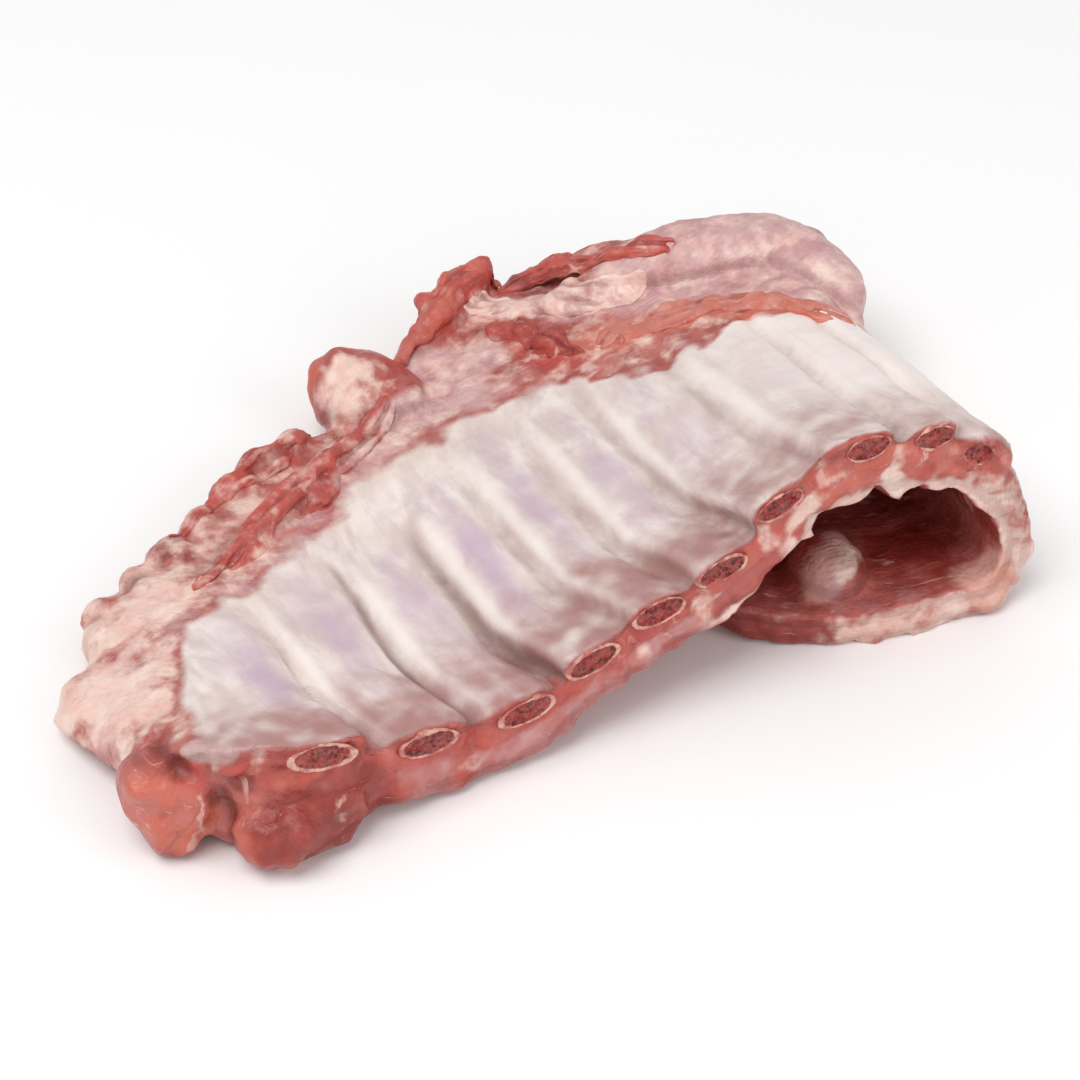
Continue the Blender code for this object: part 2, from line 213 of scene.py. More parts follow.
def sampled_sides(steps=12, shares=61):
    """Grids of both sides, and the run, share of the width, thickness and width at each of their points."""
    lines = np.interp(np.linspace(0, LAST, steps * LAST + 1), EDGE_Q, EDGE_RUN)
    run, v = np.meshgrid(lines, np.linspace(0, 1, shares), indexing="ij")
    q = on_rib_line(run, v)
    row = spline(q)
    thickness = row[..., 6] + (row[..., 7] - row[..., 6]) * smoothstep(0.0, 1.0, v)
    end = np.minimum(np.minimum(q, LAST - q) / END_ROUNDING, 1.0)
    edge = np.minimum((1 - v) / FAR_ROUNDING, 1.0)
    fullness = np.sqrt(np.maximum(1 - (1 - end) ** 2, 0)) * np.sqrt(np.maximum(1 - (1 - edge) ** 2, 0))
    _, out = facing(q, np.maximum(v, 0.02))
    middle = bone_side(q, v) - out * (thickness / 2)[..., None]
    half = out * (thickness / 2 * fullness)[..., None]
    return middle + half, middle - half, (run, v, thickness, row[..., 5] - row[..., 4])


def where_on_rack(points):
    """Run, share of the width, depth under the bone side, width, thickness, side and distance off it."""
    top, low, values = sampled_sides()
    run, share, thickness, width = (value.ravel() for value in values)
    sides = np.stack([top.reshape(-1, 3), low.reshape(-1, 3)])
    slopes = []
    for axis in (0, 1):
        steps = np.gradient(values[axis], axis=axis)[..., None]
        slopes.append([np.gradient(side, axis=axis) / steps for side in (top, low)])
    along, across = np.array(slopes).reshape(2, 2, -1, 3)
    count = len(run)
    tree = kdtree.KDTree(2 * count)
    for i, co in enumerate(sides.reshape(-1, 3)):
        tree.insert(co, i)
    tree.balance()
    nearest = np.array([tree.find(p)[1] for p in points])
    side, i = nearest // count, nearest % count
    away = points - sides[side, i]
    a, b = along[side, i], across[side, i]
    aa, ab, bb = (a * a).sum(1), (a * b).sum(1), (b * b).sum(1)
    ad, bd = (a * away).sum(1), (b * away).sum(1)
    scale = np.maximum(aa * bb - ab * ab, 1e-6)
    onward = np.clip((ad * bb - bd * ab) / scale, -2.5, 2.5)
    inward = np.clip((bd * aa - ad * ab) / scale, -0.02, 0.02)
    foot = sides[0, i] + along[0, i] * onward[:, None] + across[0, i] * inward[:, None]
    depth = ((foot - points) * (sides[0, i] - sides[1, i])).sum(1) / np.maximum(thickness[i], 1.0)
    off = np.linalg.norm(away - a * onward[:, None] - b * inward[:, None], axis=1)
    return np.stack([run[i] + onward, share[i] + inward, depth, width[i], thickness[i], side == 0, off])


def noise_at(points, wavelength, seed=0.0):
    shifted = points / wavelength + seed
    return np.array([noise.noise(p) for p in shifted])


def lobules_at(points, size, seed=0.0):
    """0 in the creases between rounded lobules of about that size, and 1 on top of them."""
    out = np.empty(len(points))
    for i, p in enumerate(points / size + seed):
        near = noise.voronoi(p)[0]
        out[i] = near[1] - near[0]
    return np.clip(out * 1.6, 0, 1)


def stroke(points, line, radius):
    """1 on a line through the given points, fading to 0 at the radius."""
    nearest = np.full(len(points), 1e9)
    line = np.array(line, float)
    if len(line) == 1:
        line = np.repeat(line, 2, axis=0)
    for a, b in zip(line, line[1:]):
        ab = b - a
        t = np.clip((points - a) @ ab / max(ab @ ab, 1e-6), 0, 1)
        nearest = np.minimum(nearest, np.linalg.norm(points - a - t[:, None] * ab, axis=1))
    return 1 - smoothstep(0.35, 1.0, nearest / radius)


def painted(points, strokes):
    """A mask of all the strokes (strength, radius, points of the line), in row-frame millimetres."""
    mask = np.zeros(len(points))
    for strength, radius, *line in strokes:
        mask = np.maximum(mask, strength * stroke(points, line, radius))
    return mask


def only(obj):
    """Selects one object alone and makes it active."""
    if bpy.context.object and bpy.context.object.mode != "OBJECT":
        bpy.ops.object.mode_set(mode="OBJECT")
    bpy.ops.object.select_all(action="DESELECT")
    obj.select_set(True)
    bpy.context.view_layer.objects.active = obj


def modify(obj, kind, **settings):
    """Adds a modifier with these settings and applies it."""
    modifier = obj.modifiers.new(kind.title(), kind)
    for name, value in settings.items():
        setattr(modifier, name, value)
    only(obj)
    bpy.ops.object.modifier_apply(modifier=modifier.name)


def edit_whole(obj, operator, **settings):
    """Runs one mesh operator on the whole of an object."""
    only(obj)
    bpy.ops.object.mode_set(mode="EDIT")
    bpy.ops.mesh.select_all(action="SELECT")
    operator(**settings)
    bpy.ops.object.mode_set(mode="OBJECT")


def copy_of_node(name):
    """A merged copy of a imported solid's mesh, as a new object."""
    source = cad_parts[name]
    obj = bpy.data.objects.new(name + "_copy", source.data.copy())
    bpy.context.scene.collection.objects.link(obj)
    obj.data.materials.clear()
    edit_whole(obj, bpy.ops.mesh.remove_doubles, threshold=0.00001)
    return obj


def of_vertices(obj, kind):
    values = np.empty(len(obj.data.vertices) * 3)
    obj.data.vertices.foreach_get(kind, values)
    return values.reshape(-1, 3)


def coordinates(obj):
    return of_vertices(obj, "co") * TO_MM


def normals(obj):
    return of_vertices(obj, "normal")


def move_to(obj, points):
    obj.data.vertices.foreach_set("co", (points * MM).ravel())
    obj.data.update()


def store(obj, name, values):
    """Keeps a value or a vector for each vertex, for the materials to read."""
    values = np.asarray(values, float)
    kind = "FLOAT" if values.ndim == 1 else "FLOAT_VECTOR"
    layer = obj.data.attributes.new(name, kind, "POINT")
    layer.data.foreach_set("value" if values.ndim == 1 else "vector", values.ravel())


def stored(obj, name):
    """What store() keeps, as it stands after the modifiers."""
    data = obj.data.attributes[name].data
    vector = hasattr(data[0], "vector")
    values = np.empty(len(data) * (3 if vector else 1))
    data.foreach_get("vector" if vector else "value", values)
    return values.reshape(-1, 3) if vector else values


def softened(obj, values, rounds):
    """Values for each vertex, averaged with its neighbours a few times."""
    ends = np.empty(len(obj.data.edges) * 2, dtype=np.int32)
    obj.data.edges.foreach_get("vertices", ends)
    a, b = ends[::2], ends[1::2]
    total = len(values)
    neighbours = np.maximum(np.bincount(a, minlength=total) + np.bincount(b, minlength=total), 1)
    for _ in range(rounds):
        around = np.bincount(a, values[b], total) + np.bincount(b, values[a], total)
        values = (values + around / neighbours) / 2
    return values


def finish_piece(obj, name, material, slot, *nodes):
    """Names a piece, gives it its material, and ties it to the frame; the slot is not used."""
    obj.name = name
    obj.data.name = name
    obj.data.materials.clear()
    obj.data.materials.append(material)
    only(obj)
    bpy.ops.object.shade_smooth()
    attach(obj, "root")
    if nodes:
        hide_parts(*nodes)


# Materials


def put(tree, kind, inputs=None, **settings):
    """Adds a node, with values or links for its inputs."""
    made = tree.nodes.new(kind)
    for name, value in settings.items():
        setattr(made, name, value)
    for name, value in (inputs or {}).items():
        if isinstance(value, bpy.types.NodeSocket):
            tree.links.new(value, made.inputs[name])
        else:
            made.inputs[name].default_value = value
    return made


def colour(value):
    return (*value, 1.0) if len(value) == 3 else value


def mixed(tree, factor, a, b, blend_type="MIX"):
    made = put(tree, "ShaderNodeMix", data_type="RGBA", blend_type=blend_type)
    for index, value in ((0, factor), (6, a), (7, b)):
        if isinstance(value, bpy.types.NodeSocket):
            tree.links.new(value, made.inputs[index])
        else:
            made.inputs[index].default_value = value if index == 0 else colour(value)
    return made.outputs[2]


def calc(tree, operation, a, b=0.0):
    return put(tree, "ShaderNodeMath", {0: a, 1: b}, operation=operation).outputs[0]


def ranged(tree, value, low, high, to_low=0.0, to_high=1.0):
    inputs = {"Value": value, "From Min": low, "From Max": high, "To Min": to_low, "To Max": to_high}
    return put(tree, "ShaderNodeMapRange", inputs, interpolation_type="SMOOTHSTEP").outputs[0]


def noisy(tree, vector, scale, detail=3.0, roughness=0.55, distortion=0.0):
    inputs = {"Vector": vector, "Scale": scale, "Detail": detail, "Roughness": roughness}
    return put(tree, "ShaderNodeTexNoise", {**inputs, "Distortion": distortion}).outputs["Fac"]


def attribute(tree, name):
    return put(tree, "ShaderNodeAttribute", attribute_name=name, attribute_type="GEOMETRY")


def new_group(name, outputs, **numbers):
    """An empty shader node group that reads a vector and the numbers, and its two ends."""
    group = bpy.data.node_groups.new(name, "ShaderNodeTree")
    group.interface.new_socket("Vector", in_out="INPUT", socket_type="NodeSocketVector")
    for socket, value in numbers.items():
        kind = "NodeSocketVector" if isinstance(value, tuple) else "NodeSocketFloat"
        group.interface.new_socket(socket, in_out="INPUT", socket_type=kind).default_value = value
    for socket in outputs:
        group.interface.new_socket(socket, in_out="OUTPUT", socket_type="NodeSocketFloat")
    return group, group.nodes.new("NodeGroupInput").outputs, group.nodes.new("NodeGroupOutput").inputs


def use_group(tree, name, **inputs):
    made = tree.nodes.new("ShaderNodeGroup")
    made.node_tree = bpy.data.node_groups[name]
    for socket, value in inputs.items():
        socket = socket.replace("_", " ")
        if isinstance(value, bpy.types.NodeSocket):
            tree.links.new(value, made.inputs[socket])
        else:
            made.inputs[socket].default_value = value
    return made.outputs


def moved(tree, vector, operation, amount):
    """The coordinates with an amount added, or multiplied by it."""
    return put(tree, "ShaderNodeVectorMath", {0: vector, 1: amount}, operation=operation).outputs[0]


def soft_step(tree, value, softness):
    """0 to 1 as the value passes a half, over the softness on both sides."""
    low, high = (calc(tree, operation, 0.5, softness) for operation in ("SUBTRACT", "ADD"))
    return ranged(tree, value, low, high)


def build_groups():
    """The effects that several materials share."""
    numbers = {"Mask": 0.0, "Scale": 140.0, "Raggedness": 0.5, "Softness": 0.12}
    tree, given, result = new_group("Ragged Edge", ["Mask"], **numbers)
    ragged = calc(tree, "SUBTRACT", noisy(tree, given["Vector"], given["Scale"], 4), 0.5)
    jitter = calc(tree, "MULTIPLY", ragged, given["Raggedness"])
    torn_mask = calc(tree, "ADD", given["Mask"], jitter)
    tree.links.new(soft_step(tree, torn_mask, given["Softness"]), result["Mask"])

    numbers = {"Scale": 300.0, "Stretch": (1.0, 0.14, 1.0)}
    tree, given, result = new_group("Muscle Fibre", ["Streaks", "Height"], **numbers)
    drawn = moved(tree, given["Vector"], "MULTIPLY", given["Stretch"])
    streaks = noisy(tree, drawn, given["Scale"], 4, 0.6, 0.4)
    tree.links.new(ranged(tree, streaks, 0.3, 0.7), result["Streaks"])
    tree.links.new(streaks, result["Height"])

    tree, given, result = new_group("Fat Flecks", ["Mask"], Scale=150.0, Share=0.3)
    drawn = moved(tree, given["Vector"], "MULTIPLY", (0.35, 1.0, 1.0))
    field = noisy(tree, drawn, given["Scale"], 3, 0.6, 0.5)
    low = calc(tree, "SUBTRACT", 0.78, calc(tree, "MULTIPLY", given["Share"], 0.5))
    tree.links.new(ranged(tree, field, low, calc(tree, "ADD", low, 0.08)), result["Mask"])

    tree, given, result = new_group("Moist Film", ["Roughness", "Height"], Scale=90.0, Wet=0.28, Dry=0.5)
    broad = noisy(tree, given["Vector"], given["Scale"], 3, 0.6)
    span = {"From Min": 0.35, "From Max": 0.65, "To Min": given["Wet"], "To Max": given["Dry"]}
    tree.links.new(put(tree, "ShaderNodeMapRange", {"Value": broad, **span}).outputs[0], result["Roughness"])
    grains = {"Vector": given["Vector"], "Scale": calc(tree, "MULTIPLY", given["Scale"], 6.0)}
    pebble = put(tree, "ShaderNodeTexVoronoi", grains, feature="SMOOTH_F1").outputs["Distance"]
    tree.links.new(calc(tree, "ADD", calc(tree, "MULTIPLY", pebble, 0.35), broad), result["Height"])

    tree, given, result = new_group("Blotches", ["Mask"], Scale=45.0, Sharpness=0.12)
    field = noisy(tree, given["Vector"], given["Scale"], 4, 0.6, 0.3)
    tree.links.new(soft_step(tree, field, given["Sharpness"]), result["Mask"])


def blotches(tree, vector, scale, sharpness):
    return use_group(tree, "Blotches", Vector=vector, Scale=scale, Sharpness=sharpness)["Mask"]


def torn(tree, vector, mask, scale, raggedness, softness):
    """A mask with a ragged edge."""
    inputs = {"Vector": vector, "Mask": mask, "Scale": scale, "Raggedness": raggedness, "Softness": softness}
    return use_group(tree, "Ragged Edge", **inputs)["Mask"]


def laid_over(tree, below, above, mask, strength):
    """One colour over another where the mask is, as strong as given."""
    return mixed(tree, calc(tree, "MULTIPLY", mask, strength), below, above)


def surface(tree, shader, shades, film, height, distance):
    """Links the colour, the film's roughness and a bump of that height to the shader."""
    bump = put(tree, "ShaderNodeBump", {"Strength": 0.6, "Distance": distance, "Height": height})
    links = {"Base Color": shades, "Roughness": film["Roughness"], "Normal": bump.outputs["Normal"]}
    for name, output in links.items():
        tree.links.new(output, shader.inputs[name])


def shifted(tree, vector, amount):
    """The same coordinates moved away, so that two patterns don't fall on each other."""
    return moved(tree, vector, "ADD", (amount, -amount, amount * 0.7))


def lines_at(tree, run, places, half_width):
    """1 on lines across the rack at the given runs, fading to 0 on both sides."""
    ramp = put(tree, "ShaderNodeValToRGB", {"Fac": run})
    for end in ramp.color_ramp.elements:
        end.color = (0.0, 0.0, 0.0, 1.0)
    for middle in places:
        for offset, value in ((-half_width, 0.0), (0.0, 1.0), (half_width, 0.0)):
            element = ramp.color_ramp.elements.new((middle + offset) / RUN_SCALE)
            element.color = (value, value, value, 1.0)
    return ramp.outputs["Color"]


def new_material(name):
    material = bpy.data.materials.new(name)
    material.use_nodes = True
    tree = material.node_tree
    shader = tree.nodes["Principled BSDF"]
    place = put(tree, "ShaderNodeTexCoord").outputs["Object"]
    return material, tree, shader, place


def rack_material(looks):
    """Raw meat, fat, silverskin and the rib membrane, laid over each other by each piece's own masks."""
    material, tree, shader, place = new_material("raw rack")
    grain = attribute(tree, "grain").outputs["Vector"]
    mask = {name: attribute(tree, name).outputs["Fac"] for name in MASKS}

    shades = mixed(tree, blotches(tree, place, 60.0, 0.22), looks.meat_pink, looks.meat_red)
    deep = blotches(tree, shifted(tree, place, 3.1), 95.0, 0.15)
    shades = laid_over(tree, shades, looks.meat_deep, deep, 0.55)
    fibre = use_group(tree, "Muscle Fibre", Vector=grain, Scale=330.0, Stretch=(0.25, 1.0, 1.0))
    shades = laid_over(tree, shades, looks.meat_pink, fibre["Streaks"], 0.3)
    for number, (name, first, second, scale, ragged, soft, strength) in enumerate(LAYERS):
        here = shifted(tree, place, 2.0 + number)
        two = blotches(tree, here, scale * 0.8, 0.25)
        cover = mixed(tree, two, getattr(looks, first), getattr(looks, second))
        edge = torn(tree, here, mask[name], scale, ragged, soft)
        shades = laid_over(tree, shades, cover, edge, strength)
    flecks = use_group(tree, "Fat Flecks", Vector=shifted(tree, grain, 1.3), Scale=150.0, Share=0.3)["Mask"]
    shades = laid_over(tree, shades, looks.fat_pink, flecks, 0.6)

    sheen = use_group(tree, "Muscle Fibre", Vector=grain, Scale=120.0, Stretch=(1.0, 0.3, 0.3))["Streaks"]
    skin = mixed(tree, sheen, looks.membrane, looks.membrane_white_and_highlight)
    clouds = blotches(tree, shifted(tree, place, 8.0), 42.0, 0.22)
    skin = laid_over(tree, skin, looks.cream, clouds, 0.6)
    for name, tint_name, scale, ragged, strength in SKIN_LAYERS:
        edge = torn(tree, shifted(tree, place, scale), mask[name], scale, ragged, 0.48)
        skin = laid_over(tree, skin, getattr(looks, tint_name), edge, strength)
    # Painted shadow line down each groove, wavering a little
    wavy = calc(tree, "MULTIPLY", calc(tree, "SUBTRACT", noisy(tree, place, 55.0, 2), 0.5), 0.012)
    lines = lines_at(tree, calc(tree, "ADD", mask["run"], wavy), RIB_EDGES[1:-1], 1.8)
    skin = laid_over(tree, skin, looks.groove_line, lines, mask["line"])
    membrane = torn(tree, shifted(tree, place, 10.0), mask["membrane"], 150.0, 0.5, 0.25)
    # Painted shade: the dark crease colour laid into the creases
    shades = mixed(tree, mask["shaded_crease"], mixed(tree, membrane, shades, skin), looks.shaded_crease)

    film = use_group(tree, "Moist Film", Vector=place, Scale=95.0, Wet=0.3, Dry=0.52)
    bare = calc(tree, "SUBTRACT", 1.0, calc(tree, "MULTIPLY", membrane, 0.72))
    height = calc(tree, "MULTIPLY", calc(tree, "ADD", fibre["Height"], film["Height"]), bare)
    surface(tree, shader, shades, film, height, 0.0014)
    shader.inputs["Specular IOR Level"].default_value = 0.45
    shader.inputs["Coat Weight"].default_value = 0.1
    shader.inputs["Coat Roughness"].default_value = 0.22
    return material


def bone_material(looks):
    """A sawn rib: pale rim, spongy dark red marrow."""
    material, tree, shader, place = new_material("sawn bone")
    marrow_mask = attribute(tree, "marrow").outputs["Fac"]
    rim = laid_over(tree, looks.bone_rim, looks.bone_stain, blotches(tree, place, 230.0, 0.1), 0.8)
    cells = put(tree, "ShaderNodeTexVoronoi", {"Vector": place, "Scale": 520.0}, feature="F1")
    pores = cells.outputs["Distance"]
    pulp = mixed(tree, ranged(tree, pores, 0.25, 0.6), looks.marrow_dark, looks.marrow)
    flecks = blotches(tree, shifted(tree, place, 2.0), 420.0, 0.08)
    pulp = laid_over(tree, pulp, looks.bone_rim, flecks, 0.14)
    shades = mixed(tree, torn(tree, place, marrow_mask, 420.0, 0.7, 0.15), rim, pulp)
    film = use_group(tree, "Moist Film", Vector=place, Scale=150.0, Wet=0.3, Dry=0.5)
    height = calc(tree, "ADD", film["Height"], calc(tree, "MULTIPLY", pores, 1.5))
    surface(tree, shader, shades, film, height, 0.0008)
    return material


def floor_material(looks):
    """Matt white paper sweep with the faintest mottling."""
    material, tree, shader, place = new_material("pale floor")
    paper = blotches(tree, place, 3.0, 0.4)
    pale = tuple(c * 0.985 for c in looks.floor)
    tree.links.new(mixed(tree, paper, looks.floor, pale), shader.inputs["Base Color"])
    shader.inputs["Roughness"].default_value = 0.9
    shader.inputs["Specular IOR Level"].default_value = 0.1
    return material


# What covers the meat, from the lowest layer up; the blood layer also carries painted shade in the hollow:
# (mask, first colour, second colour, scale of its edge, raggedness, softness, strength)
LAYERS = (
    ("red", "meat_bright", "meat_red", 120.0, 0.9, 0.25, 0.9),
    ("orange", "meat_orange", "meat_pink", 110.0, 0.9, 0.25, 0.9),
    ("blood_and_shade", "blood_and_shade", "meat_deep", 130.0, 0.8, 0.25, 0.92),
    ("fascia", "fascia", "fascia_pale", 85.0, 0.9, 0.25, 0.85),
    ("grey", "cartilage", "fascia_pale", 120.0, 0.6, 0.25, 0.85),
    ("fat", "fat", "fat_pink", 120.0, 1.1, 0.2, 0.92),
    ("tan", "meat_tan", "fat_pink", 100.0, 0.8, 0.25, 0.9),
)
# The same for the membrane's tints, bone and meat that show through it, a painted highlight on the ridge
# beside each groove and painted shade in the grooves: (mask, colour, scale of its edge, raggedness, strength)
SKIN_LAYERS = (
    ("violet", "lavender", 60.0, 0.8, 0.85),
    ("blush", "blush", 90.0, 0.9, 0.9),
    ("ridge", "membrane_white_and_highlight", 70.0, 0.4, 0.75),
    ("groove", "groove", 60.0, 0.25, 0.9),
)
MASKS = ("membrane", "run", "line", "shaded_crease", *(layer[0] for layer in SKIN_LAYERS + LAYERS))

# Strokes of each covering, in row-frame millimetres: strength, radius, then the points of its line
EDGE_STRAND = ((28, 99, 24), (40, 106, 30), (52, 111, 34), (63, 113, 33))
KNOB_RIM = ((-23, 90, 15), (-23, 92, 19), (-15, 97, 27), (-3, 94, 31), (7, 86, 30), (10, 76, 28))
STROKES = {
    "fat": (
        (0.52, 22, (-8, 80, 22), (-6, 74, 26)), (0.5, 10, (-148, 3, 14), (-120, 28, 18)),
        (0.75, 17, (-167, -14, 11), (-155, -28, 22), (-149, -45, 28)),
        (0.75, 18, (-148, 4, 15), (-133, 4, 22), (-118, 6, 24)),
        (0.6, 11, (-157, -62, 34), (-146, -72, 40)), (0.8, 9, (-72, 41, 19)), (0.6, 8, (-90, 36, 20)),
        (0.7, 8, (-56, 60, 18)), (0.66, 13, (-10, 84, 30), (-20, 70, 24)),
        # The first stroke below, from (86, -96, 23) to (92, -88, 23), is a painted highlight streak on the
        # pale lump in the hollow
        (0.7, 7, (86, -96, 23), (92, -88, 23)), (0.56, 7, (74, -104, 5), (84, -109, 6)),
        (0.65, 9, (104, -113, 5), (122, -116, 7)), (0.6, 10, (146, -116, 27), (145, -115, 12)),
        (0.8, 6, (55, -107, 66), (62, -108, 74)), (0.8, 6, (92, -112, 70), (88, -111, 76)),
        (0.7, 9, (52, 95, 23), (64, 92, 25)), (0.55, 12, (138, 34, 60), (152, 18, 56)),
    ),
    "fascia": (
        (0.85, 13, (82, -92, 18), (92, -84, 20)), (0.85, 16, (15, 79, 20), (26, 75, 22), (38, 72, 24)),
        (0.8, 14, (-2, 56, 21), (9, 56, 21), (26, 61, 23)),
        (0.95, 32, (106, 64, 46), (124, 60, 53), (143, 47, 54)),
        (0.95, 28, (115, 57, 48), (130, 46, 49), (141, 22, 50)),
        (0.9, 24, (156, 28, 52), (158, 5, 49), (163, -4, 42)),
        (0.8, 11, (58, 96, 23), (70, 90, 25), (77, 73, 31), (91, 66, 35), (101, 61, 39)),
        (0.7, 4, (-147, -16, 22), (-135, -9, 24), (-121, 1, 24)),
        (0.6, 4, (-149, -29, 24), (-140, -20, 25)), (0.6, 9, (-38, 36, 20), (-20, 46, 20)),
    ),
    "red": (
        (0.9, 13, *EDGE_STRAND), (0.95, 11, *KNOB_RIM),
        (0.62, 12, (-160, -78, 30), (-150, -90, 18), (-146, -92, 8)),
        (0.62, 14, (-66, 56, 16), (-40, 68, 16)), (0.62, 14, (-110, 33, 15), (-100, 38, 15)),
        (0.62, 12, (40, 106, 34), (62, 114, 34)), (0.62, 11, (52, 80, 26), (60, 58, 30)),
        (0.9, 9, (-65, 53, 20), (-51, 54, 19)),
        (0.9, 12, (21, 95, 23), (41, 99, 27), (60, 109, 27), (70, 112, 26)),
        (0.9, 11, (53, 79, 24), (56, 66, 27), (59, 49, 30), (70, 38, 35)),
        (0.8, 7, (-3, 65, 24), (3, 78, 26), (2, 92, 28)), (0.7, 5, (-24, 61, 19), (-14, 56, 20)),
        (0.6, 4, (-143, -28, 26), (-134, -25, 26)), (0.6, 6, (-155, -64, 34), (-157, -77, 38)),
        (0.6, 5, (70, -100, 4), (78, -106, 6)), (0.6, 6, (96, -111, 7), (104, -113, 9)),
        (0.62, 10, (50, -90, 6), (62, -102, 8), (72, -106, 10)), (0.58, 7, (84, -108, 9), (98, -111, 6)),
        (0.6, 7, (112, -116, 6), (126, -116, 7)), (0.8, 9, (140, -112, 46), (147, -113, 36)),
    ),
    "orange": (
        (0.6, 9, (34, 103, 27), (46, 109, 33), (58, 112, 34)), (0.62, 22, (-158, -80, 22), (-150, -86, 14)),
        (0.56, 22, (-132, -106, 14), (-108, -108, 12)), (0.55, 9, (62, 54, 31), (70, 42, 34)),
        (0.6, 8, (-15, 97, 27), (-3, 94, 31), (7, 86, 30)),
        (0.95, 16, (76, 46, 34), (91, 36, 41), (101, 31, 44), (121, 20, 50), (131, 7, 53), (136, -8, 54)),
        (0.9, 20, (-161, -80, 22), (-150, -84, 15)), (0.6, 18, (-136, -100, 20), (-127, -108, 8)),
        (0.6, 12, (-10, 96, 26), (-18, 90, 22)),
    ),
    # Blood, and painted shade in the hollow and under the top strip
    "blood_and_shade": (
        (0.7, 24, (-128, -106, 16), (-104, -108, 14)),
        (0.7, 5, (-137, -107, 22), (-122, -111, 22), (-106, -108, 24)), (0.95, 5, (54, 76, 25)),
        (0.95, 5, (55, 62, 27)), (0.9, 4, (110, 34, 45)),
        (0.95, 5, (-109, 34, 22), (-104, 28, 22), (-100, 25, 21)), (1.0, 7, (-139, -95, 32)),
        # The first stroke below, from (74, 108, 22) to (89, 72, 38), is painted shadow under the strip along
        # the top edge
        (0.6, 7, (74, 108, 22), (83, 91, 28), (89, 72, 38)), (0.9, 12, (112, -84, 14), (124, -92, 14)),
        (0.8, 7, (96, -97, 8), (110, -104, 9), (124, -106, 12)),
        (0.66, 11, (48, -84, 5), (60, -95, 6), (73, -104, 6)), (0.8, 5, (-128, 26, 22), (-118, 29, 22)),
        (0.7, 4, (-150, 6, 14), (-146, 9, 10)), (0.8, 3.2, (-113, -104, 33)),
        (0.9, 3.4, (-104, -104, 33), (-101, -104, 34)), (0.8, 3.0, (-95, -104, 34)),
        (0.7, 14, (126, -70, 60), (134, -60, 44)),
    ),
    "tan": (
        (0.8, 11, (129, -110, 14), (137, -113, 17), (131, -117, 11)),
        (0.62, 12, (79, -92, 17), (88, -84, 20)),
    ),
    "grey": (
        (0.9, 9, (-149, -84, 43), (-142, -89, 45)),
    ),
    # Painted shade along the creases and seams, which the relief also presses in
    "shaded_crease": (
        (0.6, 3, (-158, -30, 12), (-150, -6, 12), (-143, 10, 14)),
        (0.7, 3, (-128, 22, 20), (-116, 27, 22), (-104, 32, 20)),
        (0.6, 3, (-96, 30, 23), (-84, 38, 22), (-70, 46, 21)),
        (0.75, 4, (-155, -66, 35), (-157, -76, 39), (-153, -82, 34)),
        (0.8, 5, (-145, -91, 26), (-142, -94, 12), (-142, -94, 4)),
        (0.7, 4, (-126, -106, 19), (-112, -108, 17)),
        (0.6, 4, (-104, 14, 24), (-84, 26, 23), (-62, 38, 20), (-44, 48, 20), (-28, 54, 19)),
        (0.6, 4, (-26, 60, 17), (-12, 55, 19), (2, 60, 20)),
        (0.6, 4, (46, 86, 23), (56, 82, 24), (66, 68, 28)),
        (0.5, 4, (74, 100, 25), (84, 86, 30), (92, 68, 38)),
    ),
}

# Blushes of the membrane
BLUSHES = (
    (0.8, 9, (-16, -60, 40), (-2, -70, 46)),
    (0.6, 12, (72, -46, 84), (84, -20, 76)),
    (0.5, 10, (104, -40, 84), (112, -10, 70)),
    (0.6, 10, (20, -66, 54), (14, -40, 44)),
)

# Where neither fat nor silverskin lies
BARE = (
    (0.9, 13, *EDGE_STRAND),
    (0.65, 11, (50, -84, 6), (60, -94, 7), (72, -102, 6)),
    (0.9, 26, (-160, -80, 26), (-156, -84, 8), (-142, -92, 8)),
    (0.9, 24, (-136, -108, 14), (-122, -112, 12), (-104, -108, 14)),
    (0.9, 11, *KNOB_RIM),
)


def lay(masks, name, amount):
    """Lays a covering wherever less than that amount of it lies."""
    masks[name] = np.maximum(masks[name], amount)


def rest_of_masks(p):
    """All masks empty but those that are painted by place."""
    masks = {name: np.zeros(len(p)) for name in MASKS}
    for name, strokes in STROKES.items():
        masks[name] = painted(p, strokes)
    return masks


def sheet_masks(p, n, place):
    """Where each covering lies on the sheet, from the place of each vertex on the rack, and the sawn face."""
    run, share, depth, _, thickness, on_top, off = place
    masks = rest_of_masks(p)
    jag = noise_at(p, 14.0, 3.0) * 0.05 + noise_at(p, 5.0, 9.0) * 0.018
    far = np.interp(run, *zip(*MEMBRANE_FAR))
    left = np.interp(share, [s for _, s in MEMBRANE_LEFT], [r for r, _ in MEMBRANE_LEFT])
    soft = 0.03 + 0.05 * (1 - smoothstep(170, 230, run))
    inside = smoothstep(-soft, soft, far - share + jag) * smoothstep(-6, 6, run - left + jag * 60)
    lump = smoothstep(*LUMP_RISE, off)
    cut = smoothstep(*CUT_TILT, -n[:, 1]) * (1 - smoothstep(*CUT_SHARE, share))
    upper = on_top * (1 - smoothstep(*MEMBRANE_DEPTH, depth))
    bare = 1 - painted(p, BARE)
    masks["membrane"] = upper * inside * (1 - smoothstep(*MEMBRANE_END, run)) * (1 - lump) * (1 - cut) * bare
    membrane_masks(masks, p, run, share)
    fat_masks(masks, run, on_top, inside, share - far)
    cut_masks(masks, p, run, depth, thickness, cut)
    meat_side_masks(masks, run, share, 1 - on_top, 1 - cut)
    for name in ("fat", "fascia"):
        masks[name] *= bare
    return masks, cut


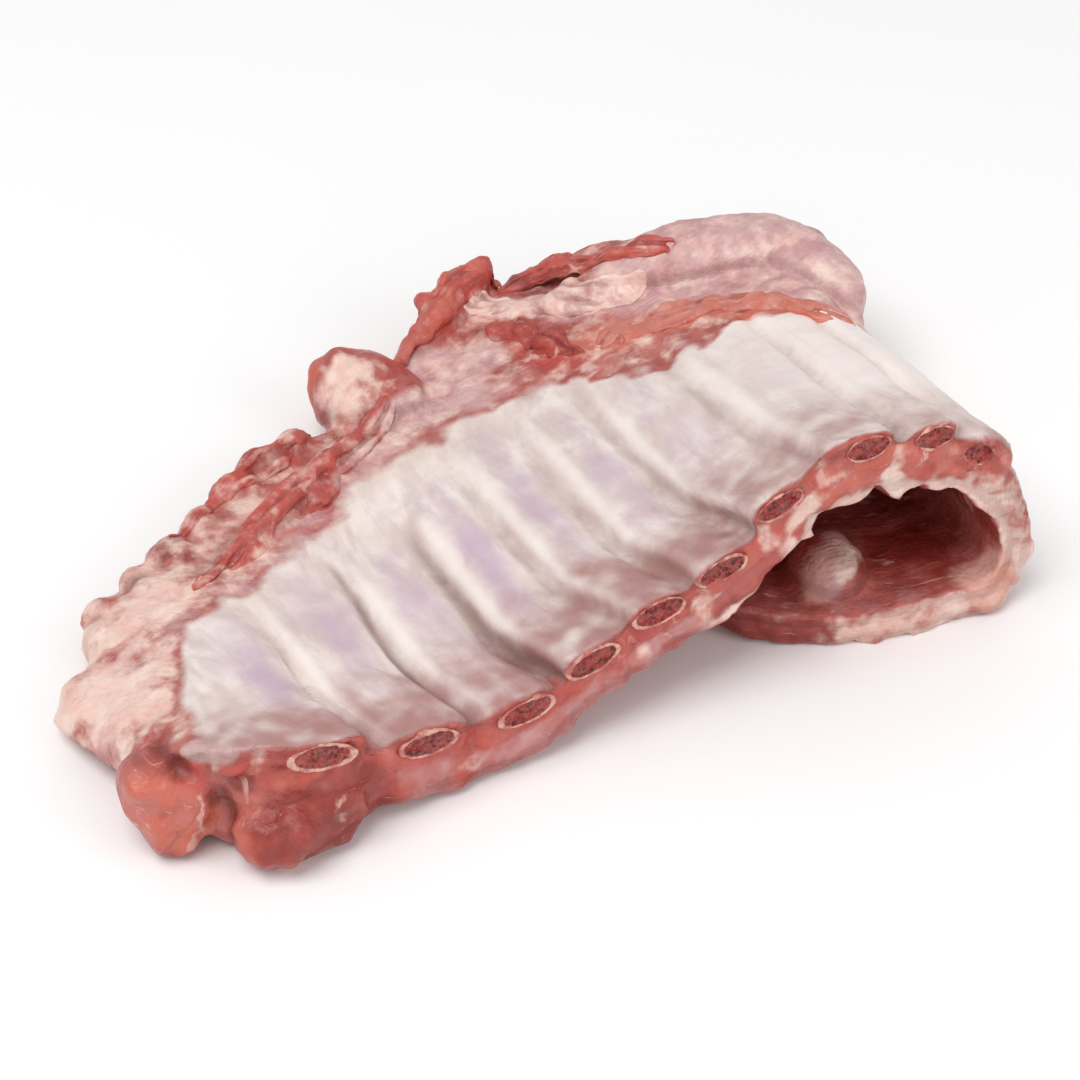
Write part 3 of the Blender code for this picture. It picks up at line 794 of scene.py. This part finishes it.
def membrane_masks(masks, p, run, share):
    """Tints of the membrane: painted shade in the grooves, a painted highlight on the ridge beside each,
    lavender over bone, blushes near the cut.
    """
    deepest = np.clip(at_edges(run, 6.0, edges=RIB_EDGES[2:4]), 0, 1)
    fading = 1 - smoothstep(0.4, 0.75, share)
    masks["run"] = run / RUN_SCALE
    # Painted shade in the grooves between the ribs and a painted shadow line down each, strongest in the two
    # deepest grooves
    masks["groove"] = np.clip(at_edges(run, 2.2), 0, 1) * (0.35 + 0.4 * deepest) * fading
    masks["line"] = (0.35 + 0.55 * deepest) * fading * (0.55 + noise_at(p, 20.0, 7.0) * 0.8)
    # Painted highlight on the ridge beside each groove, and the right end paler
    masks["ridge"] = at_edges(run, RIDGE_REACH, RIDGE_SHIFT) * fading
    lay(masks, "ridge", smoothstep(235, 300, run) * smoothstep(0.08, 0.25, share))
    masks["ridge"] *= 0.35 + 0.65 * smoothstep(0.05, 0.3, share)
    crown = np.zeros(len(p))
    for a, b in zip(RIB_EDGES, RIB_EDGES[1:]):
        phase = (run - a) / (b - a)
        crown = np.maximum(crown, between((0.1, 0.6), (0.6, 1.05), phase))
    along = between((0.02, 0.3), (0.35, 0.8), share)
    drift = 0.75 + noise_at(p, 26.0, 6.0) * 0.4 + noise_at(p, 9.0, 6.0) * 0.4
    masks["violet"] = crown * along * drift * (1.0 - 0.6 * smoothstep(150, 290, run))
    low = (1 - smoothstep(0.02, 0.34, share)) * (1 - 0.5 * smoothstep(170, 300, run))
    mottle = np.clip(0.85 + noise_at(p, 15.0, 15.0) * 0.5 + noise_at(p, 6.0, 15.0) * 0.6, 0, 1)
    masks["blush"] = np.maximum(low, 0.6 * (1 - smoothstep(0.0, 0.14, share))) * mottle
    lay(masks, "blush", painted(p, BLUSHES))


def fat_masks(masks, run, on_top, inside, past):
    """Fat and silverskin on the bone side, past the membrane's edge by that share of the width."""
    beyond = on_top * (1 - inside)
    lay(masks, "fat", (0.42 + 0.1 * (1 - smoothstep(60, 100, run))) * beyond)
    lay(masks, "fat", on_top * smoothstep(395, 420, run) * 0.6)
    near_edge = beyond * between((-0.08, 0.0), (0.02, 0.14), past)
    lay(masks, "fascia", 0.62 * near_edge * (1 - smoothstep(190, 240, run)))


def cut_masks(masks, p, run, depth, thickness, cut):
    """The sawn face: red and orange meat, blood, fat between the ribs and in webs, a rind under the arch."""
    thin_part = smoothstep(150, 210, run)
    rind = smoothstep(3.6, 2.0, thickness - depth) * between((185, 205), ROOF_END, run)
    web = smoothstep(0.84, 1.0, 1 - lobules_at(p, 15.0, 5.0)) * thin_part
    gaps = np.clip(at_edges(run, 4.5, edges=RIB_EDGES), 0, 1)
    gaps *= (0.36 + 0.16 * thin_part) * (1.0 + noise_at(p, 9.0, 16.0) * 0.8)
    low_face = smoothstep(9, 15, depth) * (1 - smoothstep(180, 215, run))
    lay(masks, "fat", cut * rind)
    lay(masks, "fat", cut * (0.12 + 0.42 * web))
    lay(masks, "fat", cut * gaps)
    lay(masks, "fat", cut * 0.56 * smoothstep(318, 344, run))
    lay(masks, "blood_and_shade", cut * smoothstep(0.1, 0.5, noise_at(p, 6.0, 12.0)) * 0.6)
    lay(masks, "fascia", cut * 0.46 * low_face)
    lay(masks, "red", cut * 0.66)
    lay(masks, "orange", cut * (0.38 + 0.14 * smoothstep(200, 260, run)))


def meat_side_masks(masks, run, share, meat_side, off_cut):
    """The side away from the bones: painted shade in the hollow, thin silverskin elsewhere."""
    roof = meat_side * between((212, 232), ROOF_END, run) * off_cut
    inner = meat_side * smoothstep(372, 385, run) * smoothstep(0.03, 0.12, share) * off_cut
    # Painted shade in the blood colour under the arch and inside the fold
    lay(masks, "blood_and_shade", np.maximum(roof * 0.62, inner * 0.5))
    lay(masks, "fascia", 0.4 * meat_side * (1 - roof) * (1 - inner) * off_cut)


def dress(piece, masks, grain):
    """Stores the masks and the grain of the meat on a piece."""
    store(piece, "grain", grain * MM)
    for name in MASKS:
        store(piece, name, masks[name])


# Ragged lumps of the sheet: centre, half sizes, raggedness
LUMPS = (
    ((-7, 82, 17), (15, 18, 14), 1.9),
    ((3, 74, 20), (11, 16, 9), 1.6),
    ((-14, 72, 14), (10, 12, 10), 1.6),
    ((-154, -75, 17), (15, 14, 17), 2.6),
    ((-120, -99, 13), (25, 13, 13), 1.8),
    ((-139, -91, 39), (10, 5, 4), 0.8),
    ((118, -86, 10), (15, 12, 4), 0.9),
    ((51, 84, 23), (7, 6, 4), 1.4),
    ((57, 72, 25), (7, 7, 4), 1.4),
    ((61, 57, 28), (7, 6, 4), 1.4),
    ((68, 42, 31), (7, 5, 4), 1.4),
    ((-131, 20, 12), (14, 5, 6), 1.1),
    ((-104, 35, 15), (9, 6, 6), 1.1),
    ((-72, 54, 15), (9, 5, 6), 1.1),
    ((-56, 62, 15), (9, 5, 6), 1.1),
    ((-40, 66, 15), (8, 6, 7), 1.1),
    ((-118, 27, 13), (9, 6, 5), 1.0),
    ((-88, 45, 14), (9, 6, 5), 1.0),
    ((-64, 58, 15), (8, 5, 5), 1.0),
    ((-48, 64, 15), (8, 5, 5), 1.0),
    ((40, 104, 26), (7, 5, 5), 2.2),
    ((51, 109, 29), (7, 5, 6), 2.4),
    ((61, 112, 30), (5, 4, 5), 2.0),
    ((53, -106, 58), (9, 3, 8), 0.9),
    ((73, -109, 76), (10, 3, 8), 0.9),
    ((102, -111, 78), (11, 3, 7), 0.9),
    ((32, -105, 52), (9, 3, 7), 0.9),
    ((10, -104, 42), (8, 3, 7), 0.9),
    ((129, -113, 64), (6, 2, 9), 0.8),
)


def rib_axes(k, v):
    """Middle of rib k at shares v of the width, its directions along the rack and out, and its half sizes."""
    share_k = k / (len(BONE_RUNS) - 1)
    half_width = (BONE_WIDTHS[0] + (BONE_WIDTHS[1] - BONE_WIDTHS[0]) * share_k) / 2
    half_thick = (BONE_THICKNESS[0] + (BONE_THICKNESS[1] - BONE_THICKNESS[0]) * share_k) / 2
    q = on_rib_line(np.full(len(v), BONE_RUNS[k]), v)
    along, out = facing(q, v)
    onward = np.cross(out, along)
    along[:, 2] *= 1 - RIB_LEVELLING * (1 - smoothstep(0.0, LEVEL_REACH, np.maximum(v, 0)))
    along = normalised(along)
    out = np.cross(along, onward)
    return bone_side(q, v) - out * (BONE_COVER + half_thick), along, out, half_width, half_thick


def mouths_at(p, below):
    """How far each point moves in, for the sheet to lie that far below the sawn rib ends."""
    back = np.zeros(len(p))
    for k in range(len(BONES)):
        centre, along, out, half_width, half_thick = rib_axes(k, np.zeros(1))
        away = p - centre
        reach = np.hypot((away * along).sum(1) / half_width, (away * out).sum(1) / half_thick)
        back = np.maximum(back, (1 - smoothstep(0.95, 1.3, reach)) * np.maximum(below - away[:, 1], 0))
    return back


def lump_form(centre, half_sizes, ragged):
    """A ragged lump of fat or meat, to be fused into the sheet."""
    bpy.ops.object.select_all(action="DESELECT")
    bpy.ops.mesh.primitive_ico_sphere_add(subdivisions=5, radius=1.0)
    lump = bpy.context.object
    unit = coordinates(lump) / TO_MM
    p = np.array(centre, float) + np.sign(unit) * np.abs(unit) ** 0.85 * np.array(half_sizes, float)
    seed = centre[0] * 0.37
    relief = noise_at(p, 17.0, seed) * ragged * 2.6 + noise_at(p, 8.0, seed) * ragged * 1.3
    relief += noise_at(p, 3.5, seed) * ragged * 0.5
    p = p + unit * relief[:, None]
    p[:, 2] = np.maximum(p[:, 2], 0.0)
    move_to(lump, p)
    return lump


def model_sheet(sizes, material):
    """The whole sheet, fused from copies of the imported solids, remeshed finely and then worked over."""
    parts = [copy_of_node("meat")]
    for name in BONES:
        bone = copy_of_node(name)
        points = coordinates(bone)
        points += normals(bone) * 0.6
        points[:, 1] = np.maximum(points[:, 1], points[:, 1].min() + 1.6)
        move_to(bone, points)
        parts.append(bone)
    parts += [lump_form(*lump) for lump in LUMPS]
    only(parts[0])
    for part in parts:
        part.select_set(True)
    bpy.ops.object.join()
    sheet = parts[0]
    modify(sheet, "REMESH", mode="VOXEL", voxel_size=sizes.fineness, adaptivity=0.0)
    modify(sheet, "SMOOTH", factor=0.5, iterations=6)

    p, n = coordinates(sheet), normals(sheet)
    place = where_on_rack(p)
    masks, cut = sheet_masks(p, n, place)
    masks = {name: softened(sheet, values, 3) for name, values in masks.items()}
    run, share, depth, width, _, on_top, off = place
    membrane = masks["membrane"]
    rough = 1 - membrane
    relief = (noise_at(p, 11.0, 1.0) * 1.3 + noise_at(p, 4.5, 2.0) * 0.6) * rough
    relief += (noise_at(p, 30.0, 4.0) * 1.0 + noise_at(p, 8.0, 4.0) * 0.3) * membrane
    relief += lobules_at(p, 12.0, 2.0) * 0.8 * masks["fat"] * rough * (1 - cut)
    fading = on_top * (1 - smoothstep(0.4, 0.8, share))
    relief -= at_edges(run, GROOVE_REACH) * sizes.groove * TO_MM * fading
    relief += at_edges(run, RIDGE_REACH, RIDGE_SHIFT) * sizes.ridge * TO_MM * fading
    relief += sizes.fold * TO_MM * between((285, 330), (395, 425), run) * on_top
    relief += cut * (lobules_at(p, 12.0, 5.0) - 0.4) * 1.8
    relief -= masks["shaded_crease"] * sizes.shaded_crease * TO_MM
    p = p + n * relief[:, None]
    p[:, 1] += mouths_at(p, 0.9)
    p[:, 2] = np.maximum(p[:, 2], 0.0)
    move_to(sheet, p)
    grain = np.stack([run, share * width, depth], 1) + p * smoothstep(1.5, 5.0, off)[:, None]
    dress(sheet, masks, grain)
    finish_piece(sheet, "rack_sheet", material, "meat", "meat")


# Strips that lie on the sheet


def round_bar(sides, cuts, *insets):
    """A unit bar standing on Z, with loops along it and rings let into both its ends."""
    bpy.ops.object.select_all(action="DESELECT")
    bpy.ops.mesh.primitive_cylinder_add(vertices=sides, radius=1.0, depth=1.0, end_fill_type="NGON")
    bar = bpy.context.object
    bpy.ops.object.mode_set(mode="EDIT")
    bpy.ops.mesh.select_mode(type="EDGE")
    bpy.ops.mesh.select_all(action="DESELECT")
    bm = bmesh.from_edit_mesh(bar.data)
    for edge in bm.edges:
        edge.select_set(abs(edge.verts[0].co.z - edge.verts[1].co.z) > 0.5)
    bmesh.update_edit_mesh(bar.data)
    bpy.ops.mesh.subdivide(number_cuts=cuts)
    bpy.ops.mesh.select_mode(type="FACE")
    bpy.ops.mesh.select_all(action="DESELECT")
    bm = bmesh.from_edit_mesh(bar.data)
    for face in bm.faces:
        face.select_set(abs(face.normal.z) > 0.9)
    bmesh.update_edit_mesh(bar.data)
    for width in insets:
        bpy.ops.mesh.inset(thickness=width)
    bpy.ops.mesh.poke()
    bpy.ops.object.mode_set(mode="OBJECT")
    return bar


def through(points, s):
    """The table of a strip's points, at shares s of its length."""
    table = np.array(points, float)
    return curve_through(table, np.clip(s, 0, 1) * (len(table) - 1))


def sheet_below():
    """A search tree of the sheet, in metres, for the pieces that lie on it."""
    mesh = bpy.data.objects["rack_sheet"].data
    return BVHTree.FromPolygons([v.co for v in mesh.vertices], [f.vertices for f in mesh.polygons])


def lowered(tree, p, level):
    """Height of the sheet under each point, within a few millimetres of the level that is given."""
    out = np.array(level, float) - 6.0
    for i, (x, y, _) in enumerate(p * MM):
        found = tree.ray_cast((x, y, 0.2), (0.0, 0.0, -1.0))[0]
        if found:
            out[i] = np.clip(found.z * TO_MM, level[i] - 6.0, level[i] + 4.0)
    return out


def model_strip(name, points, ragged, coverings, tree, material):
    """A flat, ragged strip of muscle or fat on the sheet, along points (x, y, z, half width, half height)."""
    strip = round_bar(24, 60, 0.3, 0.3)
    unit = coordinates(strip) / TO_MM
    seed = points[0][0] * 0.37
    s = 0.5 - unit[:, 2]
    here = through(points, s)
    length = np.linalg.norm(np.diff(np.array(points, float)[:, :3], axis=0), axis=1).sum()
    ahead = through(points, s + 0.01)[:, :3] - through(points, s - 0.01)[:, :3]
    ahead[:, 2] = 0
    side = np.cross(normalised(ahead), (0.0, 0.0, 1.0))
    round_off = (1 - np.abs(2 * s - 1) ** 4) ** 0.5 * 0.85 + 0.15
    wander = noise_at(np.stack([s * length / 15, unit[:, 0] * 0.9, s * 0], 1), 1.0, seed)
    wander += noise_at(np.stack([s * length / 5, unit[:, 0] * 0.9, s * 0], 1), 1.0, seed) * 0.4
    across = unit[:, 0] * here[:, 3] * round_off * (1 + 0.7 * wander)
    thick = unit[:, 1] * here[:, 4] * round_off * (1 + 0.5 * wander)
    p = here[:, :3] + side * across[:, None]
    p[:, 2] = lowered(tree, p, here[:, 2]) + thick
    move_to(strip, p)
    edit_whole(strip, bpy.ops.mesh.normals_make_consistent, inside=False)
    store(strip, "lie", np.stack([s * length, across, thick], 1))
    modify(strip, "SUBSURF", levels=2, render_levels=2)
    p, n = coordinates(strip), normals(strip)
    lie = stored(strip, "lie")
    fibres = noise_at(lie / (26.0, 2.6, 2.6), 1.0, seed)
    split = smoothstep(0.12, 0.42, -fibres)
    relief = noise_at(p, 7.5, seed) * ragged + noise_at(p, 3.2, seed) * ragged * 0.45
    relief += fibres * 0.7 - split * 0.9
    p = p + n * relief[:, None]
    p[:, 2] = np.maximum(p[:, 2], 0.0)
    move_to(strip, p)
    masks = rest_of_masks(p)
    # Painted shade in the splits between the fibres
    masks["shaded_crease"] = split * 0.4
    for covering, amount in coverings.items():
        masks[covering] = np.maximum(masks[covering] * 0.3, amount)
    dress(strip, masks, lie)
    finish_piece(strip, name, material, "meat")


STRIPS = (
    (
        "skirt_strip", 0.8, {"red": 0.66, "fat": 0.36},
        (-110, 3, 22, 3, 1.5), (-97, 12, 25, 5, 2), (-83, 19, 26, 6, 2.5), (-64, 28, 26, 7, 3),
        (-45, 38, 25, 7, 3), (-33, 46, 24, 7, 3), (-16, 56, 22, 6, 2.5), (0, 66, 22, 4, 2),
    ),
    (
        "edge_strip_left", 1.1, {"red": 0.6, "fat": 0.42},
        (-104, 37, 17, 4, 2), (-86, 49, 17, 6, 3), (-68, 56, 18, 6, 3), (-50, 63, 18, 6, 3),
        (-34, 68, 16, 4, 2),
    ),
    (
        "edge_strip_middle", 1.9, {"red": 0.7, "orange": 0.5, "fat": 0.25, "fascia": 0.1},
        (4, 80, 19, 4, 3), (18, 90, 22, 6, 4), (32, 98, 24, 6, 4), (46, 105, 28, 6, 4), (58, 110, 29, 6, 4),
        (70, 113, 27, 4, 3),
    ),
    (
        "edge_strip_right", 1.2, {"red": 0.85, "orange": 0.45, "fat": 0.15, "fascia": 0.1},
        (66, 109, 26, 4, 2), (78, 106, 30, 6, 3), (88, 98, 37, 7, 3.5), (97, 84, 44, 7, 3.5),
        (106, 71, 50, 6, 3), (117, 62, 55, 3, 1.5),
    ),
    (
        "pale_fold", 1.2, {"fat": 0.62, "fascia": 0.55},
        (46, 98, 24, 4, 2), (59, 96, 26, 8, 3), (70, 88, 28, 9, 3), (80, 75, 33, 8, 3),
        (91, 66, 38, 6, 2.5), (103, 60, 42, 4, 2),
    ),
    (
        "belly_strip", 1.3, {"orange": 0.85, "tan": 0.4, "red": 0.45, "fascia": 0.1},
        (73, 42, 33, 4, 2), (80, 45, 35, 9, 2.5), (91, 38, 40, 9, 2.5), (102, 33, 43, 9, 2.5),
        (112, 30, 46, 8, 2.5), (122, 23, 49, 8, 2.5), (131, 10, 52, 7, 2.5), (138, -5, 52, 5, 2),
        (143, -18, 51, 3, 1.5),
    ),
    (
        "pit_strip", 1.5, {"red": 0.7, "blood_and_shade": 0.45, "orange": 0.35},
        (48, 86, 22, 3, 2), (52, 78, 23, 6, 3), (58, 66, 26, 6, 3), (62, 54, 29, 6, 3), (66, 43, 31, 4, 2),
    ),
)


# The bones


def model_bone(k, sizes, material):
    """One rib: a round bar drawn along the rack from its sawn end, the marrow let into the end."""
    bone = round_bar(28, 9, 0.03, 0.12, 0.05, 0.16, 0.16, 0.16, 0.14)
    unit = coordinates(bone) / TO_MM
    share_k = k / (len(BONE_RUNS) - 1)
    row = spline(np.interp(BONE_RUNS[k], EDGE_RUN, EDGE_Q))
    width = row[5] - row[4]
    length = BONE_REACH + BONE_PROUD / width
    s = 0.5 - unit[:, 2]
    v = s * length - BONE_PROUD / width
    centre, along, out, half_width, half_thick = rib_axes(k, v)
    taper = 1 - 0.34 * smoothstep(0.0, 1.0, np.maximum(v, 0) / BONE_REACH)
    taper *= 1 - 0.4 * smoothstep(0.9, 1.0, s)
    grow = 0.3 + 0.9 * np.exp(-((s * length * width / 4.0) ** 2))
    radius = np.hypot(unit[:, 0], unit[:, 1])
    points = centre + along * ((half_width + grow) * taper * unit[:, 0])[:, None]
    points += out * ((half_thick + grow) * taper * unit[:, 1])[:, None]
    at_end = s < 0.001
    marrow = np.where(at_end, 1 - smoothstep(0.76 + 0.1 * share_k, 0.84 + 0.12 * share_k, radius), 0.0)
    points[:, 1] += marrow * sizes.marrow * TO_MM
    move_to(bone, points)
    store(bone, "marrow", marrow)
    modify(bone, "SUBSURF", levels=2, render_levels=2)

    points, n = coordinates(bone), normals(bone)
    relief = stored(bone, "marrow") * (lobules_at(points, 1.6, k * 1.7) - 0.5) * 0.7
    relief += noise_at(points, 3.0, k) * 0.4 + noise_at(points, 8.0, k + 0.5) * (0.3 + share_k)
    move_to(bone, points + n * relief[:, None])
    finish_piece(bone, f"sawn_rib_{k + 1:02d}", material, "bone", BONES[k])


# Settings, operators and panel


def size(name, text, default, unit="LENGTH", **more):
    return bpy.props.FloatProperty(name=name, description=text, default=default, unit=unit, **more)


def tint(name, text, red, green, blue):
    look = {"default": shade(red, green, blue), "subtype": "COLOR", "size": 3, "min": 0.0, "max": 1.0}
    return bpy.props.FloatVectorProperty(name=name, description=text, **look)


def power(name, text, default):
    return bpy.props.FloatProperty(name=name, description=text, default=default, min=0.0)


def angle(name, text, degrees):
    turn = math.radians(degrees)
    return bpy.props.FloatProperty(name=name, description=text, default=turn, subtype="ANGLE")


class RackSizes(bpy.types.PropertyGroup):
    fineness: size("Fineness", "Size of the sheet's faces", 0.00165, min=0.0008, max=0.005, precision=5)
    groove: size("Groove", "Extra depth of the grooves", 0.0015, precision=5)
    ridge: size("Ridge", "Height of the ridge beside a groove", 0.0007, precision=5)
    fold: size("Fold", "Thickness of the skin at the right-hand fold", 0.0022, precision=5)
    shaded_crease: size("Crease", "Depth of the creases", 0.0026, precision=5)
    marrow: size("Marrow Depth", "How far the marrow lies below a bone's rim", 0.0006, precision=5)


class RackColours(bpy.types.PropertyGroup):
    meat_pink: tint("Pale Meat", "Paler patches of the meat", 197, 115, 106)
    meat_red: tint("Red Meat", "Main colour of the meat", 168, 72, 66)
    meat_bright: tint("Bright Meat", "Fresh red strips", 198, 76, 64)
    meat_deep: tint("Deep Meat", "Darker patches of the meat", 138, 49, 43)
    meat_orange: tint("Orange Meat", "Dried, orange-red meat", 208, 102, 74)
    meat_tan: tint("Tan Meat", "Dried, tan meat", 212, 151, 129)
    # Also the colour of painted shade in the hollow and under the top strip
    blood_and_shade: tint("Blood", "Dark, wet meat in the hollows", 150, 50, 42)
    fat: tint("Fat", "Fat", 246, 224, 210)
    fat_pink: tint("Pink Fat", "Fat with a blush", 236, 188, 176)
    fascia: tint("Silverskin", "Thin skin over muscle", 193, 142, 146)
    fascia_pale: tint("Pale Silverskin", "Thicker, whiter skin", 216, 182, 180)
    cartilage: tint("Cartilage", "Greyish cartilage", 200, 170, 164)
    membrane: tint("Membrane", "Skin over the ribs", 212, 192, 190)
    # Also the colour of the painted highlight on the ridge beside each groove
    membrane_white_and_highlight: tint("White Membrane", "Thicker membrane", 248, 237, 232)
    lavender: tint("Lavender", "Bone seen through the membrane", 198, 170, 190)
    cream: tint("Cream", "Fat seen through the membrane", 221, 202, 189)
    # The next two are painted shade: a shadow line down each groove, and the grooves between the ribs
    groove_line: tint("Groove Line", "Dark line down in a groove", 112, 70, 62)
    groove: tint("Groove", "Brownish grooves between the ribs", 134, 98, 91)
    blush: tint("Blush", "Meat seen through the membrane", 168, 114, 110)
    # Colour of the painted shade in the creases
    shaded_crease: tint("Crease", "Dark creases", 98, 32, 28)
    bone_rim: tint("Bone Rim", "Sawn rim of a bone", 223, 174, 157)
    bone_stain: tint("Bone Stain", "Blood on the rim", 180, 79, 72)
    marrow: tint("Marrow", "Spongy inside of a bone", 159, 38, 36)
    marrow_dark: tint("Dark Marrow", "Pores of the marrow", 91, 13, 17)
    floor: tint("Floor", "Floor of the stage", 252, 252, 252)


class StageSettings(bpy.types.PropertyGroup):
    azimuth: angle("Azimuth", "Camera's turn round the rack", -30)
    elevation: angle("Elevation", "Camera's height angle", 40)
    distance: size("Distance", "From the camera to the rack", 1.02)
    key: power("Key Light", "Power of the main light", 26.0)
    fill: power("Fill Light", "Power of the fill light", 8.0)
    sky: power("Surround", "Brightness of the surroundings", 0.57)


def groups_ready():
    if "Ragged Edge" not in bpy.data.node_groups:
        build_groups()


def meat_look(context):
    """The one material that the sheet and the strips share."""
    groups_ready()
    return bpy.data.materials.get("raw rack") or rack_material(context.scene.rack_colours)


class RIBS_OT_sheet(bpy.types.Operator):
    """Model the sheet of meat with its membrane, fat and silverskin"""

    bl_idname = "ribs.sheet"
    bl_label = "Sheet of Meat"

    def execute(self, context):
        model_sheet(context.scene.rack_sizes, meat_look(context))
        return {"FINISHED"}


class RIBS_OT_strips(bpy.types.Operator):
    """Model the strips of muscle and fat along the far edge and the belly side"""

    bl_idname = "ribs.strips"
    bl_label = "Strips"

    def execute(self, context):
        tree = sheet_below()
        for name, ragged, coverings, *points in STRIPS:
            model_strip(name, points, ragged, coverings, tree, meat_look(context))
        return {"FINISHED"}


class RIBS_OT_bones(bpy.types.Operator):
    """Model the ten sawn rib bones"""

    bl_idname = "ribs.bones"
    bl_label = "Rib Bones"

    def execute(self, context):
        groups_ready()
        material = bone_material(context.scene.rack_colours)
        for k in range(len(BONES)):
            model_bone(k, context.scene.rack_sizes, material)
        return {"FINISHED"}


def area_light(name, place, width, power):
    """A soft light, aimed at the middle of the rack."""
    data = bpy.data.lights.new(name, "AREA")
    data.shape = "DISK"
    data.size = width
    data.energy = power
    light = bpy.data.objects.new(name, data)
    bpy.context.scene.collection.objects.link(light)
    light.location = place
    light.rotation_euler = (-Vector(place)).to_track_quat("-Z", "Y").to_euler()


class RIBS_OT_stage(bpy.types.Operator):
    """Set out the pale floor, the soft lights and the camera"""

    bl_idname = "ribs.stage"
    bl_label = "Stage"

    def execute(self, context):
        groups_ready()
        settings = context.scene.rack_stage
        bpy.ops.object.select_all(action="DESELECT")
        bpy.ops.mesh.primitive_plane_add(size=FLOOR_WIDTH)
        floor = context.object
        floor.name = "floor"
        floor.data.materials.append(floor_material(context.scene.rack_colours))

        target = Vector(CAMERA_TARGET)
        flat = math.cos(settings.elevation)
        round_to = (math.sin(settings.azimuth) * flat, -math.cos(settings.azimuth) * flat)
        back = Vector((*round_to, math.sin(settings.elevation)))
        data = bpy.data.cameras.new("camera")
        data.lens, data.sensor_width = LENS_AND_SENSOR
        camera = bpy.data.objects.new("camera", data)
        context.scene.collection.objects.link(camera)
        camera.location = target + back * settings.distance
        camera.rotation_euler = (-back).to_track_quat("-Z", "Y").to_euler()
        context.scene.camera = camera

        area_light("key light", *KEY_LIGHT, settings.key)
        area_light("fill light", *FILL_LIGHT, settings.fill)
        world = bpy.data.worlds.new("surround")
        world.use_nodes = True
        sky = world.node_tree.nodes["Background"].inputs
        sky["Color"].default_value = (1.0, 1.0, 1.0, 1.0)
        sky["Strength"].default_value = settings.sky
        context.scene.world = world
        context.scene.view_settings.view_transform = "Standard"
        return {"FINISHED"}


class RIBS_PT_panel(bpy.types.Panel):
    bl_label = "Rack of Ribs"
    bl_idname = "RIBS_PT_panel"
    bl_space_type = "VIEW_3D"
    bl_region_type = "UI"
    bl_category = "Rack of Ribs"

    def draw(self, context):
        for step in STEPS:
            self.layout.operator(step.bl_idname)
        for settings in (context.scene.rack_sizes, context.scene.rack_colours, context.scene.rack_stage):
            box = self.layout.box()
            for name in settings.__annotations__:
                box.prop(settings, name)


STEPS = (RIBS_OT_sheet, RIBS_OT_strips, RIBS_OT_bones, RIBS_OT_stage)
SETTINGS = {"rack_sizes": RackSizes, "rack_colours": RackColours, "rack_stage": StageSettings}


def register():
    for cls in (*SETTINGS.values(), *STEPS, RIBS_PT_panel):
        bpy.utils.register_class(cls)
    for name, cls in SETTINGS.items():
        setattr(bpy.types.Scene, name, bpy.props.PointerProperty(type=cls))


def unregister():
    for name in SETTINGS:
        delattr(bpy.types.Scene, name)
    for cls in (RIBS_PT_panel, *STEPS, *SETTINGS.values()):
        bpy.utils.unregister_class(cls)


def main():
    register()
    bpy.ops.ribs.sheet()
    bpy.ops.ribs.strips()
    bpy.ops.ribs.bones()
    bpy.ops.ribs.stage()


if __name__ == "__main__":
    main()
